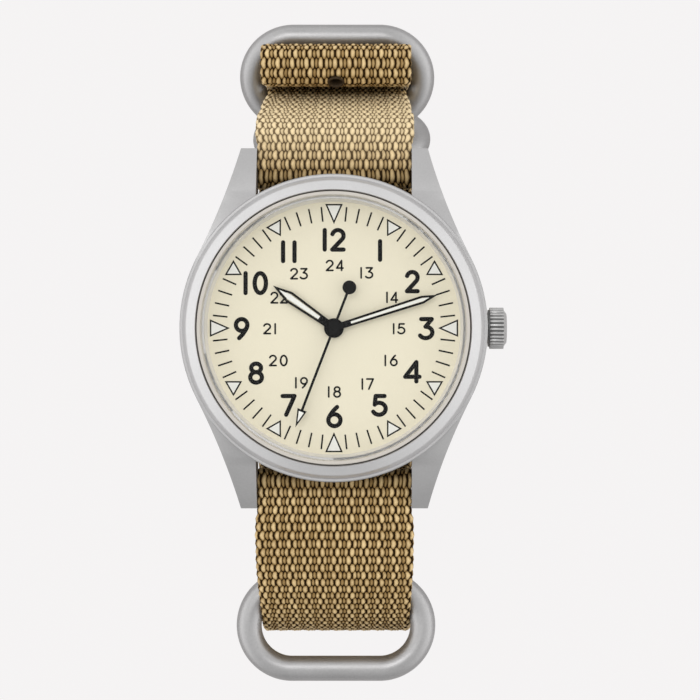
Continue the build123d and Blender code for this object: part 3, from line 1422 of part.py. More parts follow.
def near_ring_b(outward):
    """A point on ring B's own direction, counted from the long strap's first layer."""
    along_y, along_z = at_angle(foot_radius_12 + outward, ring_b_angle)
    return (foot_centre[0] + along_y, foot_centre[1] + along_z)


ring_c_centre = (ring_c_bar[0] - ring_reach / 2, ring_c_bar[1])
waists = [
    (near_ring_a(ring_shift, 0), run_turn),
    (near_ring_b(ring_shift), ring_b_angle),
    (ring_c_centre, 0),
]

# Holes for the tongue, one pitch apart along the tail
hole_pitch = 7.0
tongue_hole_back = 1.65  # from the buckle's bar
tongue_hole_y = buckle_bar_y - tongue_hole_back
tail_holes = 9
holes_before = 3

with BuildLine(Plane.YZ) as long_line:
    FilletPolyline(*[corner for corner, radius in long_path],
                   radius=[radius for corner, radius in long_path[1:-1]])
tail_line = long_line.wire()
tongue_hole_at = tail_line.param_at_point(Vector(0, tongue_hole_y, tail_rise[1])) * tail_line.length
buckle_slot_width = 2.2
buckle_slot_length = 5.2
buckle_slot_shift = 0.4
buckle_slot_centre = (buckle_bar[0] - buckle_slot_shift, buckle_bar[1])

with BuildPart() as long_strap:
    extrude(band_face(long_path), amount=strap_width)
    for centre, turn in waists:
        extrude(side_box(centre, turn, (waist_span, waist_length)), amount=strap_width, mode=Mode.SUBTRACT)
    mirror(about=Plane.YZ, mode=Mode.INTERSECT)
    with BuildSketch(Plane.YZ):
        with Locations(buckle_slot_centre):
            Rectangle(buckle_slot_length, 2 * (buckle_slot_centre[1] - bottom_z + strap_thickness / 2))
    extrude(amount=buckle_slot_width / 2, both=True, mode=Mode.SUBTRACT)
    for hole in range(tail_holes):
        place = tongue_hole_at + (hole - holes_before) * hole_pitch
        point = tail_line.position_at(place, position_mode=PositionMode.LENGTH)
        way = tail_line.tangent_at(place, position_mode=PositionMode.LENGTH)
        hole_plane = Plane(origin=point, x_dir=(1, 0, 0), z_dir=(0, way.Z, -way.Y))
        extrude(fine_face(hole_plane, hole_diameter / 2), amount=strap_thickness / 2 + tiny, both=True,
                mode=Mode.SUBTRACT)
finish(long_strap.part, "long_strap")

# The short strap lies under the case; it carries ring C at 6 and joins the long strap at 12
sew_gap = 0.9  # between the ends of the two straps inside the band
short_knee_back = 6.5  # from the long strap's foot
short_knee_share = 0.2
short_corner_inset = 1.8
short_knee = (twelve_foot[0] - short_knee_back, bottom_z + short_knee_share * wrist_height)
short_knee_radius = 8.0
short_side_radius = 10.0
short_corner = (lug_tip_y - short_corner_inset, short_z)
short_corner_radius = 2.0
loop_back = 3.9
loop_rise = 1.2
loop_flap = 10.3
inner_chain = beside([twelve_foot, twelve_side, twelve_shoulder],
                     -(ring_reach / 2 + loop_radius - ring_shift))
short_path = [
    ((buckle_bar[0] + flap_length + fold_radius + sew_gap, bottom_z + layer_pitch), 0),
    (short_knee, short_knee_radius),
    (inner_chain[1], short_side_radius),
    (short_corner, short_corner_radius),
    ((ring_c_bar[0] - loop_radius, short_z), loop_radius - tiny),
    ((ring_c_bar[0] - loop_radius, ring_c_bar[1] - loop_radius), loop_radius - tiny),
    ((ring_c_bar[0] + loop_rise, ring_c_bar[1] - loop_radius), strap_thickness),
    ((ring_c_bar[0] + loop_back, short_z - layer_pitch), strap_thickness),
    ((ring_c_bar[0] + loop_flap, short_z - layer_pitch), 0),
]
loop_waist_reach = 0.3  # past the ring's straight bar
loop_waist_x = (ring_width - ring_height) / 2 + loop_waist_reach

with BuildPart() as short_strap:
    extrude(band_face(short_path), amount=strap_width)
    with BuildSketch(Plane.YZ.offset(loop_waist_x)):
        with Locations((ring_c_bar[0] - loop_radius, ring_c_bar[1])):
            Rectangle(2 * loop_radius, 2 * loop_radius)
    extrude(amount=strap_width, mode=Mode.SUBTRACT)
    mirror(about=Plane.YZ, mode=Mode.INTERSECT)
finish(short_strap.part, "short_strap")

# Rings and buckle frame: round wire bent to a closed shape
wire_sides = 12
buckle_corner = 1.8
buckle_rod_back = 11.0  # from the bar to the rod, along the wrist and away from it
buckle_rod_drop = 3.45
buckle_rod = (buckle_bar_y - buckle_rod_back, buckle_bar[1] - buckle_rod_drop)
buckle_reach = hypot(buckle_bar[0] - buckle_rod[0], buckle_bar[1] - buckle_rod[1])
buckle_turn = degrees(atan2(buckle_bar[1] - buckle_rod[1], buckle_bar[0] - buckle_rod[0]))
buckle_centre = ((buckle_bar[0] + buckle_rod[0]) / 2, (buckle_bar[1] + buckle_rod[1]) / 2)
wire_forms = [
    ("ring_a", near_ring_a(ring_shift, 0), run_turn, ring_width - ring_wire, ring_reach, ring_reach / 2,
     ring_wire),
    ("ring_b", near_ring_b(ring_shift), ring_b_angle, ring_width - ring_wire, ring_reach, ring_reach / 2,
     ring_wire),
    ("ring_c", ring_c_centre, 0, ring_width - ring_wire, ring_reach, ring_reach / 2, ring_wire),
    ("buckle_frame", buckle_centre, buckle_turn, buckle_width - buckle_wire, buckle_reach, buckle_corner,
     buckle_wire),
]

bend_steps = 5  # a quarter bend is drawn in this many straight steps


def wire_corners(across, reach, corner):
    """Corners of a closed wire's middle line, from the middle of one bar round to it again."""
    corners = [(0, reach / 2)]
    for side_x, side_y, start in ((-1, 1, 90), (-1, -1, 180), (1, -1, 270), (1, 1, 0)):
        for step in range(bend_steps + 1):
            bend_x, bend_y = at_angle(corner, start + 90 * step / bend_steps)
            spot = (side_x * (across / 2 - corner) + bend_x, side_y * (reach / 2 - corner) + bend_y)
            if hypot(spot[0] - corners[-1][0], spot[1] - corners[-1][1]) > tiny:
                corners.append(spot)
    return corners


for name, (centre_y, centre_z), turn, across, reach, corner, wire in wire_forms:
    turned = (0, cos(radians(turn)), sin(radians(turn)))
    wire_plane = Plane(origin=(0, centre_y, centre_z), x_dir=(1, 0, 0), z_dir=(0, -turned[2], turned[1]))
    bar_middle = wire_plane.from_local_coords((0, reach / 2, 0))
    with BuildPart() as bent_wire:
        with BuildLine(wire_plane):
            Polyline(*wire_corners(across, reach, corner), close=True)
        with BuildSketch(Plane(origin=bar_middle, x_dir=turned, z_dir=(-1, 0, 0))):
            RegularPolygon(wire / 2, wire_sides)
        sweep(transition=Transition.RIGHT)
    finish(bent_wire.part, name)

# Tongue: a hub that turns on the buckle's bar and a wire through the tail's hole to the far rod
hub_wall = 0.45
hub_length = 1.8
tongue_root_back = 0.6  # all three from the buckle's bar
tongue_root_drop = 1.1
tongue_knee_back = 2.3
tongue_knee_drop = 4.3
tongue_tip_back = 12.1
tongue_tip_drop = 5.3
tongue_root = (buckle_bar_y - tongue_root_back, buckle_bar[1] - tongue_root_drop)
tongue_knee = (buckle_bar_y - tongue_knee_back, buckle_bar[1] - tongue_knee_drop)
tongue_tip = (buckle_bar_y - tongue_tip_back, buckle_bar[1] - tongue_tip_drop)

with BuildPart() as buckle_tongue:
    with BuildLine(Plane.YZ):
        FilletPolyline(tongue_root, tongue_knee, tongue_tip, radius=tongue_wire)
    knee_way = Vector(0, tongue_knee[0] - tongue_root[0], tongue_knee[1] - tongue_root[1])
    with BuildSketch(Plane(origin=(0, *tongue_root), x_dir=(1, 0, 0), z_dir=knee_way)):
        RegularPolygon(tongue_wire / 2, wire_sides)
    sweep()
    with BuildSketch(Plane.YZ):
        with Locations(buckle_bar):
            RegularPolygon(buckle_wire / 2 + hub_wall, wire_sides)
    extrude(amount=hub_length / 2, both=True)
    with BuildSketch(Plane.YZ):
        with Locations(buckle_bar):
            Circle(buckle_wire / 2 + running_gap)
    extrude(amount=hub_length, both=True, mode=Mode.SUBTRACT)
finish(buckle_tongue.part, "buckle_tongue")
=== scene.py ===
import bpy
import bmesh
import random
from math import acos, atan2, cos, hypot, pi, radians, sin, sqrt, tan
from mathutils import Matrix, Vector
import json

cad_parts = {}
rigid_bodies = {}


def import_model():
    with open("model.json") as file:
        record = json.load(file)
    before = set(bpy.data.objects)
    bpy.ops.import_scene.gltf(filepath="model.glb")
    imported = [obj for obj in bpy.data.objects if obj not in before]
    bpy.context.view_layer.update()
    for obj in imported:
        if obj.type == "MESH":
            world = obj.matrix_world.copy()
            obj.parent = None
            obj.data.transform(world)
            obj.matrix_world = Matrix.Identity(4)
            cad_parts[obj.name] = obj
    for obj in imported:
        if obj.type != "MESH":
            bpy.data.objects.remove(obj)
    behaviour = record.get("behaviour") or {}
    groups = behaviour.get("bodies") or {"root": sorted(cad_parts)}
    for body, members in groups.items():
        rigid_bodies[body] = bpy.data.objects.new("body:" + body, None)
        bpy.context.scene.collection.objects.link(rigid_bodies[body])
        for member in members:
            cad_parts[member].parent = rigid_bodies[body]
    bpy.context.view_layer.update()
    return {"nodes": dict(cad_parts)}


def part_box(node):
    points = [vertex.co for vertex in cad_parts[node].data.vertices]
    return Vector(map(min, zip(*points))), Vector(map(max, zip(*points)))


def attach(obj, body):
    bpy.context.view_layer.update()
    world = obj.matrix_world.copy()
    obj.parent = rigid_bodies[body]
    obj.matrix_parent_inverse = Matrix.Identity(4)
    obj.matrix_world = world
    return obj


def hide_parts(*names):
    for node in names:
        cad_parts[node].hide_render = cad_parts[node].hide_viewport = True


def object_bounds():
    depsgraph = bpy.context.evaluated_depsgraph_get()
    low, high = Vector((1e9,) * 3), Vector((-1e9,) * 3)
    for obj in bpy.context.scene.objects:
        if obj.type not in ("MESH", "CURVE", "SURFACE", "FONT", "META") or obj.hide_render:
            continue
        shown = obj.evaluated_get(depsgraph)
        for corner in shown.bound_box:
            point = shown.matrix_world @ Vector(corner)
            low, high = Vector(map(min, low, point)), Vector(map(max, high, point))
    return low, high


mm = 0.001
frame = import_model()
nodes = frame["nodes"]
print("frame loaded,", len(nodes), "nodes")

for spare in list(bpy.data.objects):
    if spare.type in ("CAMERA", "LIGHT"):
        bpy.data.objects.remove(spare)


# small helpers for materials
def newMaterial(name):
    material = bpy.data.materials.new(name)
    material.use_nodes = True
    tree = material.node_tree
    tree.nodes.clear()
    output = tree.nodes.new("ShaderNodeOutputMaterial")
    shader = tree.nodes.new("ShaderNodeBsdfPrincipled")
    tree.links.new(shader.outputs["BSDF"], output.inputs["Surface"])
    return material, tree, shader


def mathNode(tree, operation, first, second=None, third=None, clamp=False):
    node = tree.nodes.new("ShaderNodeMath")
    node.operation = operation
    node.use_clamp = clamp
    for index, value in enumerate((first, second, third)):
        if value is None:
            continue
        if isinstance(value, (int, float)):
            node.inputs[index].default_value = value
        else:
            tree.links.new(value, node.inputs[index])
    return node.outputs[0]


mixSockets = {"amount": 0, "first": 6, "second": 7, "result": 2}  # where a Mix node has its colours


def mixColour(tree, amount, first, second):
    node = tree.nodes.new("ShaderNodeMix")
    node.data_type = "RGBA"
    for name, value in (("amount", amount), ("first", first), ("second", second)):
        socket = node.inputs[mixSockets[name]]
        if isinstance(value, (int, float)):
            socket.default_value = value
        elif isinstance(value, tuple):
            socket.default_value = (*value, 1)
        else:
            tree.links.new(value, socket)
    return node.outputs[mixSockets["result"]]


def noiseFrom(tree, vector, scale, detail):
    noise = tree.nodes.new("ShaderNodeTexNoise")
    noise.inputs["Scale"].default_value = scale
    noise.inputs["Detail"].default_value = detail
    tree.links.new(vector, noise.inputs["Vector"])
    return noise.outputs["Fac"]


def stretched(tree, vector, stretch):
    mapping = tree.nodes.new("ShaderNodeMapping")
    mapping.inputs["Scale"].default_value = stretch
    tree.links.new(vector, mapping.inputs["Vector"])
    return mapping.outputs["Vector"]


def noiseNode(tree, scale, detail, stretch=(1, 1, 1)):
    place = tree.nodes.new("ShaderNodeTexCoord")
    return noiseFrom(tree, stretched(tree, place.outputs["Object"], stretch), scale, detail)


def splitPlace(tree, kind):  # x, y and z of a texture coordinate
    place = tree.nodes.new("ShaderNodeTexCoord")
    split = tree.nodes.new("ShaderNodeSeparateXYZ")
    tree.links.new(place.outputs[kind], split.inputs["Vector"])
    return split.outputs


def rampNode(tree, value, low, high, kind="LINEAR"):  # 0 at low, 1 at high
    ramp = tree.nodes.new("ShaderNodeMapRange")
    ramp.interpolation_type = kind
    ramp.inputs["From Min"].default_value = low
    ramp.inputs["From Max"].default_value = high
    tree.links.new(value, ramp.inputs["Value"])
    return ramp.outputs["Result"]


def bumpNode(tree, height, distance):
    bump = tree.nodes.new("ShaderNodeBump")
    bump.inputs["Distance"].default_value = distance
    tree.links.new(height, bump.inputs["Height"])
    return bump.outputs["Normal"]


grainLook = {"broadScale": 180, "broadDetail": 2.0, "broadShare": 0.4, "fineDetail": 4.0, "fineShare": 0.6}


# a plain finish: two tones of fine grain, uneven roughness and a small bump
def grainMaterial(name, colour, darker, metallic, roughness, scale, bump, stretch=(1, 1, 1), wear=0.08,
                  shine=0.5):
    material, tree, shader = newMaterial(name)
    fine = noiseNode(tree, scale, grainLook["fineDetail"], stretch)
    broad = noiseNode(tree, grainLook["broadScale"], grainLook["broadDetail"])
    patches = mathNode(tree, "MULTIPLY", broad, grainLook["broadShare"])
    mottle = mathNode(tree, "MULTIPLY_ADD", fine, grainLook["fineShare"], patches)
    tree.links.new(mixColour(tree, mottle, darker, colour), shader.inputs["Base Color"])
    shader.inputs["Metallic"].default_value = metallic
    shader.inputs["Specular IOR Level"].default_value = shine
    worn = mathNode(tree, "MULTIPLY_ADD", broad, wear * 2, roughness - wear)
    tree.links.new(worn, shader.inputs["Roughness"])
    tree.links.new(bumpNode(tree, fine, bump * mm), shader.inputs["Normal"])
    return material


# painted shade between the crown's flutes, from this far inside its rim, and none on its end
fluteLook = {"deep": 0.16, "shallow": 0.01, "endFrom": 19.95, "endTo": 20.02, "grooveShade": (0.16, 0.16, 0.16)}


def flutedMaterial(name, look, colour, darker, **finish):
    material = grainMaterial(name, colour, darker, **finish)
    tree = material.node_tree
    shader = tree.nodes["Principled BSDF"]
    (_, _, foot), (_, _, top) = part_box("crown")
    rim = (top - foot) / 2
    spot = splitPlace(tree, "Object")
    rise = mathNode(tree, "SUBTRACT", spot["Z"], (foot + top) / 2)
    squares = [mathNode(tree, "MULTIPLY", length, length) for length in (rise, spot["Y"])]
    reach = mathNode(tree, "SQRT", mathNode(tree, "ADD", *squares))
    groove = rampNode(tree, reach, rim - look["deep"] * mm, rim - look["shallow"] * mm)
    end = rampNode(tree, spot["X"], look["endFrom"] * mm, look["endTo"] * mm)
    metal = shader.inputs["Base Color"].links[0].from_socket
    # painted shade: the metal darkened toward the bottom of each flute
    shadedMetal = mixColour(tree, mathNode(tree, "MAXIMUM", groove, end), look["grooveShade"], metal)
    tree.links.new(shadedMetal, shader.inputs["Base Color"])
    return material


# metals and the rest
caseMetal = grainMaterial(
    "blasted steel", (0.50, 0.495, 0.495), (0.38, 0.375, 0.375),
    metallic=0.85, roughness=0.42, scale=5200, bump=0.004,
)
bezelMetal = grainMaterial(
    "brushed bezel steel", (0.67, 0.665, 0.665), (0.55, 0.545, 0.545),
    metallic=0.85, roughness=0.38, scale=4200, bump=0.004,
)
ringMetal = grainMaterial(
    "ring steel", (0.49, 0.485, 0.485), (0.32, 0.315, 0.315),
    metallic=0.85, roughness=0.40, scale=4200, bump=0.006,
)
crownMetal = flutedMaterial(
    "crown steel", fluteLook, (0.62, 0.615, 0.61), (0.44, 0.435, 0.43),
    metallic=0.9, roughness=0.36, scale=5200, bump=0.003,
)
backMetal = grainMaterial(
    "case back steel", (0.60, 0.595, 0.59), (0.44, 0.435, 0.43),
    metallic=0.9, roughness=0.34, scale=3200, stretch=(1, 12, 1), bump=0.004,
)
movementMetal = grainMaterial(
    "movement steel", (0.58, 0.57, 0.56), (0.40, 0.39, 0.38),
    metallic=0.95, roughness=0.30, scale=4200, stretch=(1, 10, 1), bump=0.003,
)
platedBrass = grainMaterial(
    "plated brass", (0.62, 0.60, 0.55), (0.45, 0.43, 0.38),
    metallic=0.95, roughness=0.32, scale=2600, stretch=(14, 1, 1), bump=0.004,
)
wheelBrass = grainMaterial(
    "wheel brass", (0.72, 0.53, 0.24), (0.50, 0.35, 0.14),
    metallic=0.95, roughness=0.32, scale=3600, stretch=(1, 8, 1), bump=0.003,
)
rubyRed = grainMaterial(
    "synthetic ruby", (0.55, 0.02, 0.09), (0.35, 0.01, 0.05),
    metallic=0.0, roughness=0.12, scale=900, bump=0.001, wear=0.02,
)
holderPlastic = grainMaterial(
    "holder plastic", (0.30, 0.29, 0.28), (0.22, 0.21, 0.20),
    metallic=0.0, roughness=0.5, scale=1800, bump=0.006,
)
sealRubber = grainMaterial(
    "seal rubber", (0.030, 0.030, 0.032), (0.015, 0.015, 0.016),
    metallic=0.0, roughness=0.62, scale=2600, bump=0.008,
)
gasketNylon = grainMaterial(
    "pale gasket", (0.56, 0.525, 0.475), (0.48, 0.45, 0.405),
    metallic=0.0, roughness=0.45, scale=2600, bump=0.003,
)
rehautGrey = grainMaterial(
    "grey flange", (0.74, 0.71, 0.65), (0.64, 0.61, 0.56),
    metallic=0.0, roughness=0.55, scale=3600, bump=0.003,
)
dialCream = grainMaterial(
    "cream dial", (0.83, 0.775, 0.615), (0.77, 0.715, 0.56),
    metallic=0.0, roughness=0.6, scale=4200, bump=0.003,
)
handBlack = grainMaterial(
    "matt black hands", (0.007, 0.007, 0.007), (0.004, 0.004, 0.004),
    metallic=0.0, roughness=0.6, scale=5200, bump=0.002, shine=0.12,
)
printBlack = grainMaterial(
    "printed black", (0.006, 0.006, 0.006), (0.004, 0.004, 0.004),
    metallic=0.0, roughness=0.6, scale=6200, bump=0.001, shine=0.12,
)
lumeWhite = grainMaterial(
    "luminous white", (0.86, 0.86, 0.82), (0.78, 0.78, 0.74),
    metallic=0.0, roughness=0.7, scale=5200, bump=0.003,
)
threadTan = grainMaterial(
    "stitch thread", (0.40, 0.30, 0.17), (0.22, 0.15, 0.07),
    metallic=0.0, roughness=0.85, scale=4200, stretch=(1, 6, 1), bump=0.02,
)


# pairs: how much the smudges add, and how much there is without them
glassLook = {
    "tint": (0.985, 0.985, 0.98, 1), "gloss": (0.9, 0.9, 0.9, 1), "smudgeScale": 120, "smudgeDetail": 2.0,
    "roughness": (0.03, 0.02), "mirror": (0.004, 0.004),
}


def clearMaterial(name, look):
    material, tree, shader = newMaterial(name)
    tree.nodes.remove(shader)
    clear = tree.nodes.new("ShaderNodeBsdfTransparent")
    gloss = tree.nodes.new("ShaderNodeBsdfGlossy")
    mix = tree.nodes.new("ShaderNodeMixShader")
    clear.inputs["Color"].default_value = look["tint"]
    gloss.inputs["Color"].default_value = look["gloss"]
    smudge = noiseNode(tree, look["smudgeScale"], look["smudgeDetail"])
    tree.links.new(mathNode(tree, "MULTIPLY_ADD", smudge, *look["roughness"]), gloss.inputs["Roughness"])
    tree.links.new(mathNode(tree, "MULTIPLY_ADD", smudge, *look["mirror"]), mix.inputs["Fac"])
    tree.links.new(clear.outputs["BSDF"], mix.inputs[1])
    tree.links.new(gloss.outputs["BSDF"], mix.inputs[2])
    tree.links.new(mix.outputs["Shader"], tree.nodes["Material Output"].inputs["Surface"])
    return material


crystalClear = clearMaterial("clear crystal", glassLook)

# webbing: offset rows of oval floats, worked out from the band's own UV in millimetres
webbing = {
    "row": 1.0,
    "period": 1.73,
    # each float's centre, half width, half height and level
    "floats": [(0.20, 0.175, 0.60, 1.0), (0.51, 0.112, 0.48, 0.64), (0.78, 0.138, 0.57, 0.88)],
    "rowShifts": [(0.0, 0.0, False), (1.0, 0.85, True)],  # row, column, mirrored
    "outlinePower": 2.2,
    "roundPower": 0.55,
    "wobble": 0.20,
    "wobbleScale": 0.55,
    "wobbleDetail": 1.0,
    "rowSeed": 17.3,
    "floatSeed": 5.7,
    "fibres": (13.0, 1.6, 1.0),
    "fibreDetail": 4.0,
    "patchScale": 260,
    "patchDetail": 3.0,
    "light": (0.80, 0.595, 0.30),
    "dark": (0.30, 0.185, 0.066),
    # painted shade: the colour between the floats
    "gap": (0.022, 0.012, 0.005),
    # painted light: this and the next three entries make the webbing paler where the strap leaves the case at
    # 12 o'clock
    "pale": (1.0, 0.83, 0.53),
    "paleGap": (0.34, 0.24, 0.13),
    "litShare": 0.62,
    "litSpans": [(17.0, 26.0), (28.6, 29.5)],  # paler from the first span to the second
    "shadeTone": 0.34,
    "fibreTone": (0.8, -0.20),  # this and the next four: factor and offset
    "patchTone": (0.3, -0.15),
    "crownHighlight": (1.5, -1.10),
    "depth": (2.8, -0.15),
    "shine": (0.7, -0.25),
    "roughness": 0.55,
    "fibreRelief": 0.22,
    "bump": 0.22,
}


def weaveMaterial(name, look):
    material, tree, shader = newMaterial(name)

    def calc(operation, *values, clamp=False):
        return mathNode(tree, operation, *values, clamp=clamp)

    place = tree.nodes.new("ShaderNodeUVMap")
    place.uv_map = "band"
    split = tree.nodes.new("ShaderNodeSeparateXYZ")
    tree.links.new(place.outputs["UV"], split.inputs["Vector"])
    wobble = noiseFrom(tree, place.outputs["UV"], look["wobbleScale"], look["wobbleDetail"])
    shift = calc("MULTIPLY_ADD", wobble, look["wobble"], -look["wobble"] / 2)
    across = calc("ADD", split.outputs["X"], shift)
    along = calc("ADD", split.outputs["Y"], shift)
    height = None
    shade = None
    for rowShift, columnShift, mirrored in look["rowShifts"]:
        rows = calc("MULTIPLY_ADD", along, 0.5 / look["row"], rowShift * 0.5)
        columns = calc("MULTIPLY_ADD", across, 1 / look["period"], columnShift)
        rowCell = calc("FLOOR", rows)
        columnCell = calc("FLOOR", columns)
        inRow = calc("MULTIPLY_ADD", calc("SUBTRACT", rows, rowCell), 2.0, -1.0)
        inColumn = calc("SUBTRACT", columns, columnCell)
        if mirrored:
            inColumn = calc("SUBTRACT", 1.0, inColumn)
        for index, (centre, halfWidth, halfHeight, level) in enumerate(look["floats"]):
            fromRow = calc("DIVIDE", inRow, halfHeight)
            fromCentre = calc("DIVIDE", calc("SUBTRACT", inColumn, centre), halfWidth)
            rowPart = calc("POWER", calc("ABSOLUTE", fromRow), look["outlinePower"])
            columnPart = calc("POWER", calc("ABSOLUTE", fromCentre), look["outlinePower"])
            rise = calc("SUBTRACT", 1.0, calc("ADD", rowPart, columnPart), clamp=True)
            thisHeight = calc("MULTIPLY", calc("POWER", rise, look["roundPower"]), level)
            cell = tree.nodes.new("ShaderNodeCombineXYZ")
            seed = look["rowSeed"] * (1 + rowShift) + look["floatSeed"] * index
            tree.links.new(calc("ADD", columnCell, seed), cell.inputs["X"])
            tree.links.new(rowCell, cell.inputs["Y"])
            grain = tree.nodes.new("ShaderNodeTexWhiteNoise")
            grain.noise_dimensions = "3D"
            tree.links.new(cell.outputs["Vector"], grain.inputs["Vector"])
            thisShade = calc("MULTIPLY", grain.outputs["Value"], calc("GREATER_THAN", thisHeight, 0.0))
            height = thisHeight if height is None else calc("MAXIMUM", height, thisHeight)
            shade = thisShade if shade is None else calc("MAXIMUM", shade, thisShade)
    fibre = noiseFrom(tree, stretched(tree, place.outputs["UV"], look["fibres"]), 1.0, look["fibreDetail"])
    patches = noiseNode(tree, look["patchScale"], look["patchDetail"])
    tone = calc("MULTIPLY", shade, look["shadeTone"])
    tone = calc("ADD", tone, calc("MULTIPLY_ADD", fibre, *look["fibreTone"]))
    tone = calc("ADD", tone, calc("MULTIPLY_ADD", patches, *look["patchTone"]))
    # painted highlight: each float lighter toward its crown
    tone = calc("ADD", tone, calc("MULTIPLY_ADD", height, *look["crownHighlight"]), clamp=True)
    thread = mixColour(tree, tone, look["dark"], look["light"])
    spot = splitPlace(tree, "Object")
    # painted light: thread and gaps paler where the strap leaves the case at 12 o'clock
    litSpans = [rampNode(tree, spot["Y"], low * mm, high * mm, "SMOOTHSTEP") for low, high in look["litSpans"]]
    litShare = calc("MULTIPLY", calc("SUBTRACT", *litSpans), look["litShare"])
    thread = mixColour(tree, litShare, thread, look["pale"])
    gap = mixColour(tree, litShare, look["gap"], look["paleGap"])
    # painted shade: the gaps between the floats darkened nearly to black
    depth = calc("MULTIPLY_ADD", height, *look["depth"], clamp=True)
    tree.links.new(mixColour(tree, depth, gap, thread), shader.inputs["Base Color"])
    shine = calc("MULTIPLY_ADD", height, *look["shine"], clamp=True)
    tree.links.new(shine, shader.inputs["Specular IOR Level"])
    shader.inputs["Roughness"].default_value = look["roughness"]
    relief = calc("ADD", height, calc("MULTIPLY", fibre, look["fibreRelief"]))
    tree.links.new(bumpNode(tree, relief, look["bump"] * mm), shader.inputs["Normal"])
    return material


webbingTan = weaveMaterial("tan webbing", webbing)
meltedRim = grainMaterial(
    "melted webbing rim", (0.060, 0.036, 0.016), (0.020, 0.012, 0.006),
    metallic=0.0, roughness=0.6, scale=1600, bump=0.04, shine=0.2,
)

nodeMaterials = {
    "dial": dialCream,
    "back_seal": sealRubber,
    "crown_gasket": sealRubber,
    "movement_holder": holderPlastic,
    "jewels": rubyRed,
    "hour_hand": handBlack,
    "minute_hand": handBlack,
    "seconds_hand": handBlack,
}
for name in ("mainplate", "train_bridge", "barrel_bridge", "balance_cock", "pallet_cock"):
    nodeMaterials[name] = platedBrass
for name in ("centre_wheel", "third_wheel", "fourth_wheel", "balance", "barrel_drum", "barrel_lid",
             "minute_wheel", "hour_wheel"):
    nodeMaterials[name] = wheelBrass
for name in ("bridge_screws", "pallet_screw", "escape_wheel", "pallet_fork", "barrel_arbor", "ratchet_wheel",
             "crown_wheel", "click", "winding_pinion", "cannon_pinion", "crown_tube", "stem", "spring_bar_12",
             "spring_bar_6", "bar_tip_12_right", "bar_tip_12_left", "bar_tip_6_right", "bar_tip_6_left"):
    nodeMaterials[name] = movementMetal


def setMaterial(obj, material):
    obj.data.materials.clear()
    obj.data.materials.append(material)
    for face in obj.data.polygons:
        face.material_index = 0


for name, material in nodeMaterials.items():
    setMaterial(nodes[name], material)
print("materials made")


# making pieces
def addObject(name, mesh, material, body):
    obj = bpy.data.objects.new(name, mesh)
    bpy.context.scene.collection.objects.link(obj)
    setMaterial(obj, material)
    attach(obj, body)
    return obj


def finishMesh(work, name, material, body):
    bmesh.ops.recalc_face_normals(work, faces=work.faces)
    mesh = bpy.data.meshes.new(name)
    work.to_mesh(mesh)
    work.free()
    return addObject(name, mesh, material, body)


def smooth(obj, angle):
    bpy.ops.object.select_all(action="DESELECT")
    obj.select_set(True)
    bpy.context.view_layer.objects.active = obj
    bpy.ops.object.shade_smooth_by_angle(angle=radians(angle))


refining = {"merge": 0.0005, "flat": 0.6, "segments": 2, "smooth": 32}  # mm and degrees


# a CAD piece's own mesh with its edges broken as a machined edge is
def refined(node, piece, material, body, width, angle=30):
    source = nodes[node]
    mesh = source.data.copy()
    mesh.name = piece
    mesh.transform(source.matrix_world)
    work = bmesh.new()
    work.from_mesh(mesh)
    bmesh.ops.remove_doubles(work, verts=work.verts, dist=refining["merge"] * mm)
    bmesh.ops.dissolve_limit(work, angle_limit=radians(refining["flat"]), verts=work.verts, edges=work.edges)
    bmesh.ops.recalc_face_normals(work, faces=work.faces)
    work.to_mesh(mesh)
    work.free()
    obj = addObject(piece, mesh, material, body)
    bevel = obj.modifiers.new("broken edges", "BEVEL")
    bevel.limit_method = "ANGLE"
    bevel.angle_limit = radians(angle)
    bevel.width = width * mm
    bevel.segments = refining["segments"]
    smooth(obj, refining["smooth"])
    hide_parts(node)


edgeWidths = {"case": 0.06, "back": 0.08, "crown": 0.03, "tongue": 0.03}
refined("case_middle", "case_body", caseMetal, "watch_head", edgeWidths["case"])
refined("case_back", "back_cover", backMetal, "watch_head", edgeWidths["back"])
refined("crown", "crown_cap", crownMetal, "crown_body", edgeWidths["crown"])

turning = {"segments": 192, "merge": 0.0002, "smooth": 12}


# a ring turned on a lathe from its section, as (radius, height) corners in turn
def turned(node, look):
    segments = turning["segments"]
    profile = look["section"]
    work = bmesh.new()
    rows = []
    for t in range(segments):
        angle = 2 * pi * t / segments
        rows.append([work.verts.new((r * cos(angle) * mm, r * sin(angle) * mm, z * mm)) for r, z in profile])
    for a, b in zip(rows, rows[1:] + rows[:1]):
        for j in range(len(profile)):
            k = (j + 1) % len(profile)
            work.faces.new((a[j], b[j], b[k], a[k]))
    bmesh.ops.remove_doubles(work, verts=work.verts, dist=turning["merge"] * mm)
    obj = finishMesh(work, look["piece"], look["material"], "watch_head")
    smooth(obj, turning["smooth"])
    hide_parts(node)


turnedPieces = {
    "bezel": {
        "piece": "bezel_ring", "material": bezelMetal, "slot": "case_steel",
        "section": [
            (16.12, -0.25), (17.12, -0.68), (17.22, -0.78), (17.62, -1.44), (17.65, -1.5), (16.7, -1.5),
            (16.7, -2.4), (15.15, -2.4), (15.15, -1.6), (16.0, -1.6), (16.0, -0.6), (16.04, -0.35),
        ],
    },
    "crystal_gasket": {
        "piece": "gasket_ring", "material": gasketNylon, "slot": "gasket_plastic",
        "section": [
            (15.42, -0.7), (15.50, -0.18), (15.55, -0.15), (15.80, -0.15), (15.86, -0.18), (15.96, -0.8),
            (16.0, -1.6), (15.4, -1.6),
        ],
    },
    "crystal": {
        "piece": "crystal_disc", "material": crystalClear, "slot": "crystal_glass",
        "section": [(0, 0), (14.9, 0), (15.12, -0.05), (15.4, -0.3), (15.4, -1.6), (0, -1.6)],
    },
    "rehaut": {
        "piece": "flange_ring", "material": rehautGrey, "slot": "rehaut_grey",
        "section": [(15.15, -2.4), (15.35, -3.30), (14.85, -3.30)],
    },
}
for name, look in turnedPieces.items():
    turned(name, look)


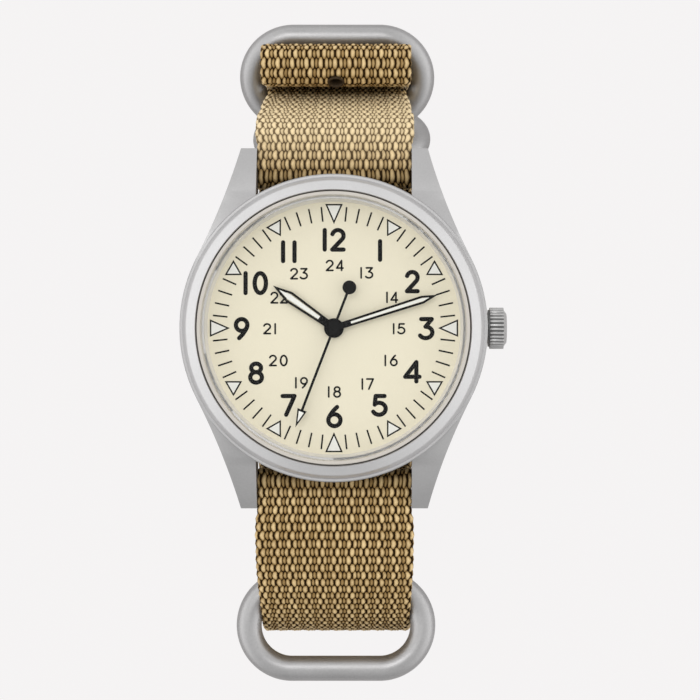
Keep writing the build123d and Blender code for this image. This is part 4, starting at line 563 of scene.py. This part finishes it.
# the white filling of a hand, a little narrower than its solid, so that the black edge shows
def narrowed(node, look):
    mesh = nodes[node].data.copy()
    mesh.name = look["piece"]
    mesh.transform(nodes[node].matrix_world)
    mesh.transform(Matrix.Rotation(radians(look["angle"]), 4, "Z"))
    for vertex in mesh.vertices:
        vertex.co.x *= look["share"]
    mesh.transform(Matrix.Rotation(radians(-look["angle"]), 4, "Z"))
    obj = addObject(look["piece"], mesh, lumeWhite, look["body"])
    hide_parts(node)


narrowed("hour_lume", {"piece": "hour_filling", "body": "hour_group", "angle": 304.9, "share": 0.76})
narrowed("minute_lume", {"piece": "minute_filling", "body": "minute_group", "angle": 72.25, "share": 0.8})
print("case pieces made")

# the three rings and the buckle frame, round wire bent to shape
ringShape = {"straight": 5.3, "rise": 0.0, "bend": 5.275, "wire": 1.525}
frameShape = {"straight": 8.7, "rise": 3.964, "bend": 1.8, "wire": 1.1}
wires = {
    "ring_a": {"body": "ring_a_body", "centre": (31.289, -19.876), "turn": 22.966, **ringShape},
    "ring_b": {"body": "ring_b_body", "centre": (26.287, -47.594), "turn": -50.0, **ringShape},
    "ring_c": {"body": "ring_c_body", "centre": (-36.075, -13.525), "turn": 0.0, **ringShape},
    "buckle_frame": {"body": "buckle_frame_body", "centre": (1.0, -48.925), "turn": 17.413, **frameShape},
}
bendSteps = 96
wireSides = 32
for name, look in wires.items():
    bpy.ops.object.select_all(action="DESELECT")
    bpy.ops.mesh.primitive_torus_add(
        major_radius=look["bend"] * mm, minor_radius=look["wire"] * mm,
        major_segments=bendSteps, minor_segments=wireSides,
    )
    obj = bpy.context.active_object
    obj.name = name + "_wire"
    obj.data.transform(Matrix.Rotation(radians(360 / bendSteps / 2), 4, "Z"))
    for vertex in obj.data.vertices:
        vertex.co.x += look["straight"] * mm * (1 if vertex.co.x > 0 else -1)
        vertex.co.y += look["rise"] * mm * (1 if vertex.co.y > 0 else -1)
    obj.data.transform(Matrix.Rotation(radians(look["turn"]), 4, "X"))
    obj.data.transform(Matrix.Translation((0, look["centre"][0] * mm, look["centre"][1] * mm)))
    for face in obj.data.polygons:
        face.use_smooth = True
    setMaterial(obj, ringMetal)
    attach(obj, look["body"])
    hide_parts(name)
print("rings made")


bandLook = {
    "bendSteps": 6, "bendStep": 0.1, "shortest": 1e-9,
    "spreadFrom": 21.4, "spreadOver": 1.6, "spreadAbove": -11.7,  # clear of the lugs the cloth is wider
    "tuckFrom": 19.0, "tuckOver": 1.6, "tuckAbove": -11,  # between them it follows the case
    "tuckShare": 0.5, "caseRound": 18,
    "edge": 0.5, "edgeThin": 0.5, "edgePower": 2.4, "overEdge": 0.4,
    "fray": 0.06, "drift": 0.04,
    "pressReach": 6, "pressLeast": 0.3,  # flatter weave where a ring lies on it
}


# the straps: a band laid along a path of corners and radii, seen from the crown's side as (y, z)
def roundedPath(corners, step):  # its points at even steps, each with the run up to it, and its length
    points = [corners[0][:2]]
    for (y0, z0, _), (y1, z1, radius), (y2, z2, _) in zip(corners, corners[1:], corners[2:]):
        before = Vector((y0 - y1, z0 - z1)).normalized()
        after = Vector((y2 - y1, z2 - z1)).normalized()
        half = acos(max(-1, min(1, before.dot(after)))) / 2
        cut = radius / tan(half)
        start = Vector((y1, z1)) + before * cut
        end = Vector((y1, z1)) + after * cut
        centre = Vector((y1, z1)) + (before + after).normalized() * (radius / sin(half))
        a0 = atan2(start.y - centre.y, start.x - centre.x)
        a1 = atan2(end.y - centre.y, end.x - centre.x)
        turn = (a1 - a0 + pi) % (2 * pi) - pi
        count = max(bandLook["bendSteps"], int(abs(turn) * radius / bandLook["bendStep"]))
        for i in range(count + 1):
            angle = a0 + turn * i / count
            points.append((centre.x + radius * cos(angle), centre.y + radius * sin(angle)))
    points.append(corners[-1][:2])
    runs = [0.0]
    for (y0, z0), (y1, z1) in zip(points, points[1:]):
        runs.append(runs[-1] + hypot(y1 - y0, z1 - z0))
    total = runs[-1]
    count = 2 * int(round(total / step / 2))
    even = []
    index = 0
    for i in range(count + 1):
        want = total * i / count
        while index < len(runs) - 2 and runs[index + 1] < want:
            index += 1
        span = runs[index + 1] - runs[index]
        share = 0 if span < bandLook["shortest"] else (want - runs[index]) / span
        even.append((
            points[index][0] + (points[index + 1][0] - points[index][0]) * share,
            points[index][1] + (points[index + 1][1] - points[index][1]) * share,
            want,
        ))
    return even, total


def floatRise(along, across):  # how high the weave stands there, from 0 in a gap to 1 on a float
    best = 0.0
    for rowShift, columnShift, mirrored in webbing["rowShifts"]:
        inRow = abs((along / webbing["row"] + rowShift) % 2 - 1)
        inColumn = (across / webbing["period"] + columnShift) % 1
        if mirrored:
            inColumn = 1 - inColumn
        for centre, halfWidth, halfHeight, level in webbing["floats"]:
            fromRow = (inRow / halfHeight) ** webbing["outlinePower"]
            fromCentre = abs((inColumn - centre) / halfWidth) ** webbing["outlinePower"]
            best = max(best, max(0.0, 1 - fromRow - fromCentre) ** webbing["roundPower"] * level)
    return best


def eased(share):  # a share kept between 0 and 1, soft at both ends
    share = max(0, min(1, share))
    return share * share * (3 - 2 * share)


def bandReach(look, y, z, run, index, drift):  # half the width at one place of the path
    reach = look["width"] / 2
    if z > bandLook["spreadAbove"]:
        reach += look["spread"] * eased((abs(y) - bandLook["spreadFrom"]) / bandLook["spreadOver"])
    for middleY, middleZ, span, soft, waist in look["waists"]:
        away = hypot(y - middleY, z - middleZ)
        if away < span:
            reach = min(reach, reach + (waist - reach) * eased((span - away) / soft))
    fray = bandLook["fray"] * (1 if index % 2 == 0 else -1)
    whole = int(run)
    return reach + (fray + bandLook["drift"] * (drift[whole] * (1 - run % 1) + drift[whole + 1] * (run % 1)))


def bandSection(look, path, index, drift):  # the points round the band, each with its place across
    y, z, run = path[index]
    y0, z0, _ = path[max(0, index - 1)]
    y1, z1, _ = path[min(len(path) - 1, index + 1)]
    way = Vector((y1 - y0, z1 - z0)).normalized()
    normal = (-way.y, way.x)
    half = look["width"] / 2
    thick = look["thickness"] / 2
    edgeWidth = bandLook["edge"]
    reach = bandReach(look, y, z, run, index, drift)
    fromRing = hypot(y - look["ring"][0], z - look["ring"][1])
    pressed = min(1, max(bandLook["pressLeast"], fromRing / bandLook["pressReach"]))
    caseRound = bandLook["caseRound"]
    tuck = 0
    if z > bandLook["tuckAbove"]:
        tuck = eased((bandLook["tuckFrom"] - abs(y)) / bandLook["tuckOver"]) * (1 if y > 0 else -1)
    line = []
    for side in (1, -1):
        for c in range(look["columns"] + 1):
            place = (2 * c / look["columns"] - 1) * side
            x = place * reach
            edge = max(0, (abs(x) - (reach - edgeWidth)) / edgeWidth)
            weave = look["relief"] * pressed * (floatRise(index / 2, place * half) - 0.5)
            swell = thick * (1 - bandLook["edgeThin"] * edge ** bandLook["edgePower"]) + weave
            bulge = (caseRound - sqrt(caseRound ** 2 - x * x)) * bandLook["tuckShare"] * tuck
            line.append((x, y + normal[0] * swell * side - bulge, z + normal[1] * swell * side, place * half))
    return line


def makeBand(name, look, material, node):
    path, total = roundedPath(look["corners"], look["row"] / 2)
    columns = look["columns"]
    work = bmesh.new()
    uvLayer = work.loops.layers.uv.new("band")
    random.seed(look["seed"])
    drift = [random.uniform(-1, 1) for _ in range(int(total) + 4)]
    rings = [bandSection(look, path, index, drift) for index in range(len(path))]
    verts = [[work.verts.new((x * mm, y * mm, z * mm)) for x, y, z, _ in line] for line in rings]
    count = len(rings[0])
    for i in range(len(rings) - 1):
        for j in range(count):
            k = (j + 1) % count
            face = work.faces.new((verts[i][j], verts[i][k], verts[i + 1][k], verts[i + 1][j]))
            for loop, (r, c) in zip(face.loops, ((i, j), (i, k), (i + 1, k), (i + 1, j))):
                overEdge = 0
                if c == k and j in (columns, count - 1):
                    overEdge = bandLook["overEdge"] if j == columns else -bandLook["overEdge"]
                loop[uvLayer].uv = (rings[r][c][3] + overEdge, r / 2)
            face.smooth = True
    for i in (0, len(rings) - 1):
        face = work.faces.new(verts[i] if i else verts[i][::-1])
        for loop in face.loops:
            loop[uvLayer].uv = (loop.vert.co.x / mm, i / 2 + loop.vert.co.z / mm)
    obj = finishMesh(work, name, material, "watch_head")
    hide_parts(node)
    return obj, total, path


longBand = {
    "corners": [
        (17.3, -47.7, 0), (10.1, -47.7, 1.2), (8.3, -45.4, 1.2), (4.7, -45.4, 1.79), (4.7, -49.0, 1.79),
        (27.5, -49.0, 12.0), (31.6, -25.3, 16.0), (23.4, -5.95, 6.0), (18.025, -5.95, 1.2),
        (18.025, -10.0, 1.2), (-18.025, -10.0, 1.2), (-18.025, -5.95, 1.2), (-38.45, -5.95, 14.6),
        (-34.0, -48.2, 13.0), (-7.0, -48.2, 10.0), (3.0, -50.3, 10.0), (28.594, -50.3, 13.3),
        (32.946, -25.145, 17.3), (30.55, -17.9, 3.0), (30.3, -13.0, 1.5), (33.2, -11.75, 1.5),
        (34.5, -15.0, 1.65), (32.294, -17.712, 1.2), (35.328, -24.87, 16.0), (32.884, -38.999, 0),
    ],
    "ring": (31.289, -19.876), "width": 18.28, "spread": 0.24, "thickness": 1.2, "columns": 72, "row": 1.0,
    "relief": 0.24, "seed": 4,
    # where a ring draws it in: middle, reach, softness and half width
    "waists": [
        (31.0, -19.876, 7.5, 6.0, 8.6), (26.287, -47.594, 5.0, 2.4, 8.1), (-37.0, -13.525, 14.0, 12.0, 8.95),
    ],
}
shortBand = {
    "corners": [
        (18.2, -47.7, 0), (21.0, -41.2, 8.0), (25.729, -25.977, 10.0), (19.5, -11.3, 2.0),
        (-33.025, -11.3, 2.215), (-33.025, -15.75, 2.215), (-29.6, -15.75, 1.2), (-26.9, -12.6, 1.2),
        (-20.5, -12.6, 0),
    ],
    "ring": (-36.075, -13.525), "width": 18.2, "spread": 0.0, "thickness": 1.2, "columns": 72, "row": 1.0,
    "relief": 0.2, "seed": 9,
    "waists": [(-32.6, -13.525, 2.9, 1.2, 5.4)],
}
longStrap, longLength, longPath = makeBand("strap_long", longBand, webbingTan, "long_strap")
shortStrap, shortLength, _ = makeBand("strap_short", shortBand, webbingTan, "short_strap")
print("straps made, long", round(longLength, 2), "short", round(shortLength, 2))


def skin(work, rows):  # faces between rows of points, each row closed
    for before, after in zip(rows, rows[1:]):
        for j in range(len(before)):
            k = (j + 1) % len(before)
            work.faces.new((before[j], before[k], after[k], after[j])).smooth = True


# a solid that follows a line of points, used for the stitches
def tubeMesh(work, points, radius, sides):
    lean = Vector((0.31, 0.17, 0.94))  # any way that no thread runs
    rows = []
    turns = [2 * pi * s / sides for s in range(sides)]
    for index, point in enumerate(points):
        before = points[max(0, index - 1)]
        after = points[min(len(points) - 1, index + 1)]
        way = (after - before).normalized()
        side = way.cross(lean).normalized()
        up = side.cross(way).normalized()
        rows.append([
            work.verts.new(point + side * radius * cos(turn) + up * radius * sin(turn)) for turn in turns
        ])
    skin(work, rows)
    work.faces.new(rows[0][::-1])
    work.faces.new(rows[-1])


# melted rims of the holes along the tail; a section's point is its distance from the edge and its height
holeLook = {
    "runs": [195.0, 202.0, 209.0, 216.0, 223.0, 230.0, 237.0, 244.0, 251.0, 273.6],
    "radius": 0.85, "reach": 0.85, "sides": 28,
    "section": [(-0.10, 0.5), (-0.02, 0.72), (0.13, 0.74), (0.2, 0.6), (0.06, 0.5),
                (0.06, -0.5), (0.2, -0.6), (0.13, -0.74), (-0.02, -0.72), (-0.10, -0.5)],
}
work = bmesh.new()
cutters = bmesh.new()
holeTurns = [2 * pi * t / holeLook["sides"] for t in range(holeLook["sides"])]
for run in holeLook["runs"]:
    index = int(round(run / longLength * (len(longPath) - 1)))
    y, z, _ = longPath[index]
    y0, z0, _ = longPath[index - 1]
    y1, z1, _ = longPath[index + 1]
    way = Vector((0, y1 - y0, z1 - z0)).normalized()
    normal = Vector((0, -way.z, way.y))
    middle = Vector((0, y, z))
    outwards = [Vector((cos(turn), 0, 0)) + way * sin(turn) for turn in holeTurns]
    loops = [
        [
            work.verts.new((middle + outward * (holeLook["radius"] + out) + normal * rise) * mm)
            for out, rise in holeLook["section"]
        ]
        for outward in outwards
    ]
    skin(work, loops + loops[:1])
    ends = [(middle + normal * side * holeLook["reach"]) * mm for side in (1, -1)]
    rings = [
        [cutters.verts.new(outward * holeLook["radius"] * mm + end) for outward in outwards] for end in ends
    ]
    cutters.faces.new(rings[0])
    cutters.faces.new(rings[1][::-1])
    for t in range(holeLook["sides"]):
        u = (t + 1) % holeLook["sides"]
        cutters.faces.new((rings[0][t], rings[1][t], rings[1][u], rings[0][u]))
bmesh.ops.recalc_face_normals(cutters, faces=cutters.faces)
cutterMesh = bpy.data.meshes.new("hole_cutters")
cutters.to_mesh(cutterMesh)
cutters.free()
cutter = bpy.data.objects.new("hole_cutters", cutterMesh)
bpy.context.scene.collection.objects.link(cutter)
cutterMesh.materials.append(meltedRim)
punch = longStrap.modifiers.new("punch", "BOOLEAN")
punch.operation = "DIFFERENCE"
punch.solver = "MANIFOLD"
punch.object = cutter
bpy.ops.object.select_all(action="DESELECT")
longStrap.select_set(True)
bpy.context.view_layer.objects.active = longStrap
bpy.ops.object.modifier_apply(modifier=punch.name)
bpy.data.objects.remove(cutter)
finishMesh(work, "hole_rims", meltedRim, "watch_head")
print("rims made")


# dial printing: numerals drawn as strokes of one width, in a square of side 1
def arc(middleX, middleY, halfWidth, halfHeight, start, sweep, steps):
    angles = [radians(start + sweep * t / steps) for t in range(steps + 1)]
    return [(middleX + halfWidth * cos(angle), middleY + halfHeight * sin(angle)) for angle in angles]


glyphs = {
    "0": [arc(0.5, 0.5, 0.5, 0.5, 90, 360, 36)],
    "1": [[(0.5, 0.0), (0.5, 1.0)]],
    "2": [arc(0.5, 0.72, 0.5, 0.28, 165, -205, 16) + [(0.0, 0.0), (1.0, 0.0)]],
    "3": [[(0.03, 1.0), (0.95, 1.0), (0.40, 0.60)] + arc(0.42, 0.30, 0.58, 0.30, 88, -235, 18)],
    "4": [[(0.78, 0.0), (0.78, 1.0), (0.0, 0.24), (1.0, 0.24)]],
    "5": [[(0.90, 1.0), (0.16, 1.0), (0.08, 0.54)] + arc(0.44, 0.32, 0.56, 0.32, 125, -275, 20)],
    "6": [[(0.72, 1.0), (0.40, 0.80), (0.14, 0.56), (0.02, 0.40)] + arc(0.5, 0.31, 0.5, 0.31, 168, 360, 26)],
    "7": [[(0.0, 1.0), (1.0, 1.0), (0.30, 0.0)]],
    "8": [arc(0.5, 0.275, 0.5, 0.275, 90, 360, 26), arc(0.5, 0.775, 0.42, 0.225, -90, 360, 24)],
}
glyphs["9"] = [[(1 - x, 1 - y) for x, y in glyphs["6"][0]]]
dialTop = -3.3
printLook = {
    "scale": 8.537,  # pixels of the picture to a millimetre at the dial
    "centre": (350, 350), "shift": (1.87, -2.57),
    "ink": 0.02, "fillFoot": 0.005, "fillTop": 0.05, "strokeStep": 0.0006, "shortest": 1e-4, "roundSteps": 8,
}


def toDial(px, py):  # a point of the picture, moved to the dial's face in millimetres
    middleX, middleY = printLook["centre"]
    shiftX, shiftY = printLook["shift"]
    return (px - middleX) / printLook["scale"] + shiftX, (middleY - py) / printLook["scale"] + shiftY


def roundEnd(point, start, width):
    steps = printLook["roundSteps"]
    turns = [start - pi * t / steps for t in range(steps + 1)]
    return [point + Vector((cos(turn), sin(turn))) * width / 2 for turn in turns]


def ribbon(work, points, width, low, high):  # a flat stroke with round ends along a line of points
    line = [Vector(points[0])]
    for point in points[1:]:
        point = Vector(point)
        if (point - line[-1]).length > printLook["shortest"]:
            line.append(point)
    for index, (a, b) in enumerate(zip(line, line[1:])):
        way = (b - a).normalized()
        side = Vector((-way.y, way.x)) * width / 2
        start = atan2(side.y, side.x)
        plate(work, roundEnd(b, start, width) + roundEnd(a, start - pi, width), low,
              high + printLook["strokeStep"] * index)


def plate(work, edge, low, high):  # a flat solid with this outline
    below = [work.verts.new((p[0] * mm, p[1] * mm, low * mm)) for p in edge]
    above = [work.verts.new((p[0] * mm, p[1] * mm, high * mm)) for p in edge]
    work.faces.new(below)
    work.faces.new(above[::-1])
    for i in range(len(edge)):
        j = (i + 1) % len(edge)
        work.faces.new((below[i], above[i], above[j], below[j]))


def drawNumber(work, text, box, stroke, digitWidth):
    x0, x1, y0, y1 = box
    left, bottom = toDial(x0, y1)
    right, top = toDial(x1, y0)
    widths = [stroke if digit == "1" else digitWidth for digit in text]
    starts = [left] if len(text) == 1 else [left, right - widths[1]]
    if len(text) == 1:
        widths = [right - left]
    foot = bottom + stroke / 2
    tall = top - bottom - stroke
    for digit, start, wide in zip(text, starts, widths):
        for line in glyphs[digit]:
            spots = [(start + stroke / 2 + x * max(0, wide - stroke), foot + y * tall) for x, y in line]
            ribbon(work, spots, stroke, dialTop, dialTop + printLook["ink"])


hourNumbers = {
    "places": {
        "12": (322.6, 345.8, 227.7, 251.5), "1": (378.1, 381.5, 238.9, 261.7), "2": (405, 420, 269.7, 293.2),
        "3": (419, 434.8, 316.9, 340.2), "4": (403.3, 421.9, 360, 383.6), "5": (371.8, 388, 394, 417),
        "6": (326.2, 342.7, 405, 428.4), "7": (280.4, 296.6, 394, 417), "8": (248, 264, 361.5, 384.8),
        "9": (233.6, 249.4, 316.9, 340.2), "10": (243.3, 268, 270.9, 295), "11": (280.9, 296.6, 240, 263),
    },
    "stroke": 0.50, "digit": 1.83,
}
innerNumbers = {
    "places": {
        "24": (325.7, 343.9, 259.5, 271.1), "13": (360.4, 373.5, 266.8, 278.6),
        "14": (386.3, 398.4, 291.5, 303.1), "15": (393, 405.7, 323, 334.4),
        "16": (384.6, 398, 354.7, 366.4), "17": (361.6, 374.2, 378.2, 390),
        "18": (327.9, 341.2, 386.2, 397.9), "19": (295, 308, 377, 388.7), "20": (268.8, 287.7, 354.7, 366.4),
        "21": (263, 276, 323, 334.4), "22": (270.2, 287.7, 291.5, 303.6), "23": (290, 308, 267.7, 279.4),
    },
    "stroke": 0.205, "digit": 0.94,
}
for name, look in (("hour_numerals", hourNumbers), ("inner_numerals", innerNumbers)):
    work = bmesh.new()
    for text, box in look["places"].items():
        drawNumber(work, text, box, look["stroke"], look["digit"])
    finishMesh(work, name, printBlack, "watch_head")

# minute lines and triangles, in pixels of the picture from the dial's centre
marks = {
    "tickIn": 107.3, "tickOut": 122.0, "tickWidth": 1.6, "bigBase": 124.4, "base": 121.4, "bigTip": 104.3,
    "tip": 106.3, "wide": 17.6, "outline": 1.5,
}
marks = {name: length / printLook["scale"] for name, length in marks.items()}
inkTop = dialTop + printLook["ink"]
ticks = bmesh.new()
outlines = bmesh.new()
fills = bmesh.new()
for minute in range(60):
    angle = pi / 2 - 2 * pi * minute / 60
    way = Vector((cos(angle), sin(angle)))
    side = Vector((-way.y, way.x))
    if minute % 5:
        a = way * marks["tickIn"]
        b = way * marks["tickOut"]
        half = side * marks["tickWidth"] / 2
        plate(ticks, [a + half, a - half, b - half, b + half], dialTop, inkTop)
        continue
    big = minute % 15 == 0
    base = marks["bigBase" if big else "base"]
    tip = marks["bigTip" if big else "tip"]
    half = marks["wide"] / 2
    plate(outlines, [way * base + side * half, way * tip, way * base - side * half], dialTop, inkTop)
    slope = hypot(half, base - tip) / half
    low = base - marks["outline"]
    innerTip = tip + marks["outline"] * slope
    innerHalf = half * (low - innerTip) / (base - tip)
    plate(fills, [way * low + side * innerHalf, way * innerTip, way * low - side * innerHalf],
          dialTop + printLook["fillFoot"], dialTop + printLook["fillTop"])
finishMesh(ticks, "minute_ticks", printBlack, "watch_head")
finishMesh(outlines, "marker_outlines", printBlack, "watch_head")
finishMesh(fills, "marker_fills", lumeWhite, "watch_head")

# the white triangle on the seconds hand
secondsLook = {"angle": 201.1, "base": 10.5, "wide": 0.64, "tip": 11.78, "sunk": 0.01, "raised": 0.03}
angle = pi / 2 - radians(secondsLook["angle"])
way = Vector((cos(angle), sin(angle)))
side = Vector((-way.y, way.x))
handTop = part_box("seconds_hand")[1][2] / mm
work = bmesh.new()
half = secondsLook["wide"] / 2
base = way * secondsLook["base"]
plate(work, [base + side * half, way * secondsLook["tip"], base - side * half],
      handTop - secondsLook["sunk"], handTop + secondsLook["raised"])
finishMesh(work, "seconds_arrow_fill", lumeWhite, "seconds_group")
print("dial printed")

# thread in the hidden sewn parts of both straps: two rows, with their height above the cloth's middle
stitchLook = {
    "places": [((13.2, -47.7), (15.6, -47.7), 0.68), ((-25.4, -12.6), (-22.2, -12.6), -0.68)],
    "count": 17, "length": 0.75, "radius": 0.14, "sides": 6, "reach": 7.2, "dip": 0.12,
    "steps": (-1, -0.6, 0, 0.6, 1),
}
work = bmesh.new()
halfStitch = stitchLook["length"] / 2
for first, second, rise in stitchLook["places"]:
    dip = stitchLook["dip"] * (1 if rise > 0 else -1)
    for y, z in (first, second):
        for i in range(stitchLook["count"]):
            x = (i / (stitchLook["count"] - 1) * 2 - 1) * stitchLook["reach"]
            spots = [
                Vector((x + t * halfStitch, y, z + rise - (dip if abs(t) == 1 else 0))) * mm
                for t in stitchLook["steps"]
            ]
            tubeMesh(work, spots, stitchLook["radius"] * mm, stitchLook["sides"])
finishMesh(work, "stitches", threadTan, "watch_head")

# the tongue, as a bent pin on its hub
refined("buckle_tongue", "tongue_pin", ringMetal, "buckle_tongue_body", edgeWidths["tongue"],
        angle=40)

# floor, backdrop and light
studio = {
    "floorSize": 3, "floorDrop": 0.0004, "floorColour": (0.60, 0.59, 0.59, 1), "floorRoughness": 0.9,
    "paper": (0.92, 0.905, 0.905, 1), "paperShare": 0.98,
    "white": (1, 1, 1, 1), "around": 0.78, "sides": 1.00, "fromTop": 0.32,
}
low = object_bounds()[0][2]
bpy.ops.object.select_all(action="DESELECT")
bpy.ops.mesh.primitive_plane_add(size=studio["floorSize"])
ground = bpy.context.active_object
ground.name = "floor"
ground.data.transform(Matrix.Translation((0, 0, low - studio["floorDrop"])))
floorMaterial, tree, shader = newMaterial("pale floor")
shader.inputs["Base Color"].default_value = studio["floorColour"]
shader.inputs["Roughness"].default_value = studio["floorRoughness"]
paper = tree.nodes.new("ShaderNodeEmission")
paper.inputs["Color"].default_value = studio["paper"]
paths = tree.nodes.new("ShaderNodeLightPath")
mix = tree.nodes.new("ShaderNodeMixShader")
seen = mathNode(tree, "MULTIPLY", paths.outputs["Is Camera Ray"], studio["paperShare"])
tree.links.new(seen, mix.inputs["Fac"])
tree.links.new(shader.outputs["BSDF"], mix.inputs[1])
tree.links.new(paper.outputs["Emission"], mix.inputs[2])
tree.links.new(mix.outputs["Shader"], tree.nodes["Material Output"].inputs["Surface"])
setMaterial(ground, floorMaterial)

# the sky: brighter toward both sides and toward 12 o'clock, and the paper's own tone for the camera
world = bpy.data.worlds.new("studio")
bpy.context.scene.world = world
world.use_nodes = True
tree = world.node_tree
tree.nodes.clear()
output = tree.nodes.new("ShaderNodeOutputWorld")
soft = tree.nodes.new("ShaderNodeBackground")
soft.inputs["Color"].default_value = studio["white"]
spot = splitPlace(tree, "Generated")
sides = mathNode(tree, "MULTIPLY", spot["X"], spot["X"])
sides = mathNode(tree, "MULTIPLY_ADD", sides, studio["sides"], studio["around"])
upward = mathNode(tree, "MULTIPLY", mathNode(tree, "MULTIPLY", spot["Y"], spot["Y"]), spot["Y"])
tree.links.new(mathNode(tree, "MULTIPLY_ADD", upward, studio["fromTop"], sides), soft.inputs["Strength"])
seen = tree.nodes.new("ShaderNodeBackground")
seen.inputs["Color"].default_value = studio["paper"]
paths = tree.nodes.new("ShaderNodeLightPath")
mix = tree.nodes.new("ShaderNodeMixShader")
tree.links.new(paths.outputs["Is Camera Ray"], mix.inputs["Fac"])
tree.links.new(soft.outputs["Background"], mix.inputs[1])
tree.links.new(seen.outputs["Background"], mix.inputs[2])
tree.links.new(mix.outputs["Shader"], output.inputs["Surface"])

lampLook = {"place": (-0.10, 0.20, 0.60), "size": 0.30, "power": 0.7}
lamp = bpy.data.objects.new("key", bpy.data.lights.new("key", "AREA"))
bpy.context.scene.collection.objects.link(lamp)
lamp.data.shape = "SQUARE"
lamp.data.size = lampLook["size"]
lamp.data.energy = lampLook["power"]
lamp.location = lampLook["place"]
lamp.rotation_euler = (-Vector(lampLook["place"])).to_track_quat("-Z", "Y").to_euler()

cameraLook = {
    "place": (0.0065, -0.00257, 0.267), "lens": 118.4, "shift": -0.0562, "sensor": 36, "near": 0.01,
    "far": 10,
}
camera = bpy.data.objects.new("camera", bpy.data.cameras.new("camera"))
bpy.context.scene.collection.objects.link(camera)
camera.location = cameraLook["place"]
camera.data.lens = cameraLook["lens"]
camera.data.shift_x = cameraLook["shift"]
camera.data.sensor_width = cameraLook["sensor"]
camera.data.clip_start = cameraLook["near"]
camera.data.clip_end = cameraLook["far"]
bpy.context.scene.camera = camera
bpy.context.scene.view_settings.view_transform = "Standard"
print("stage set")
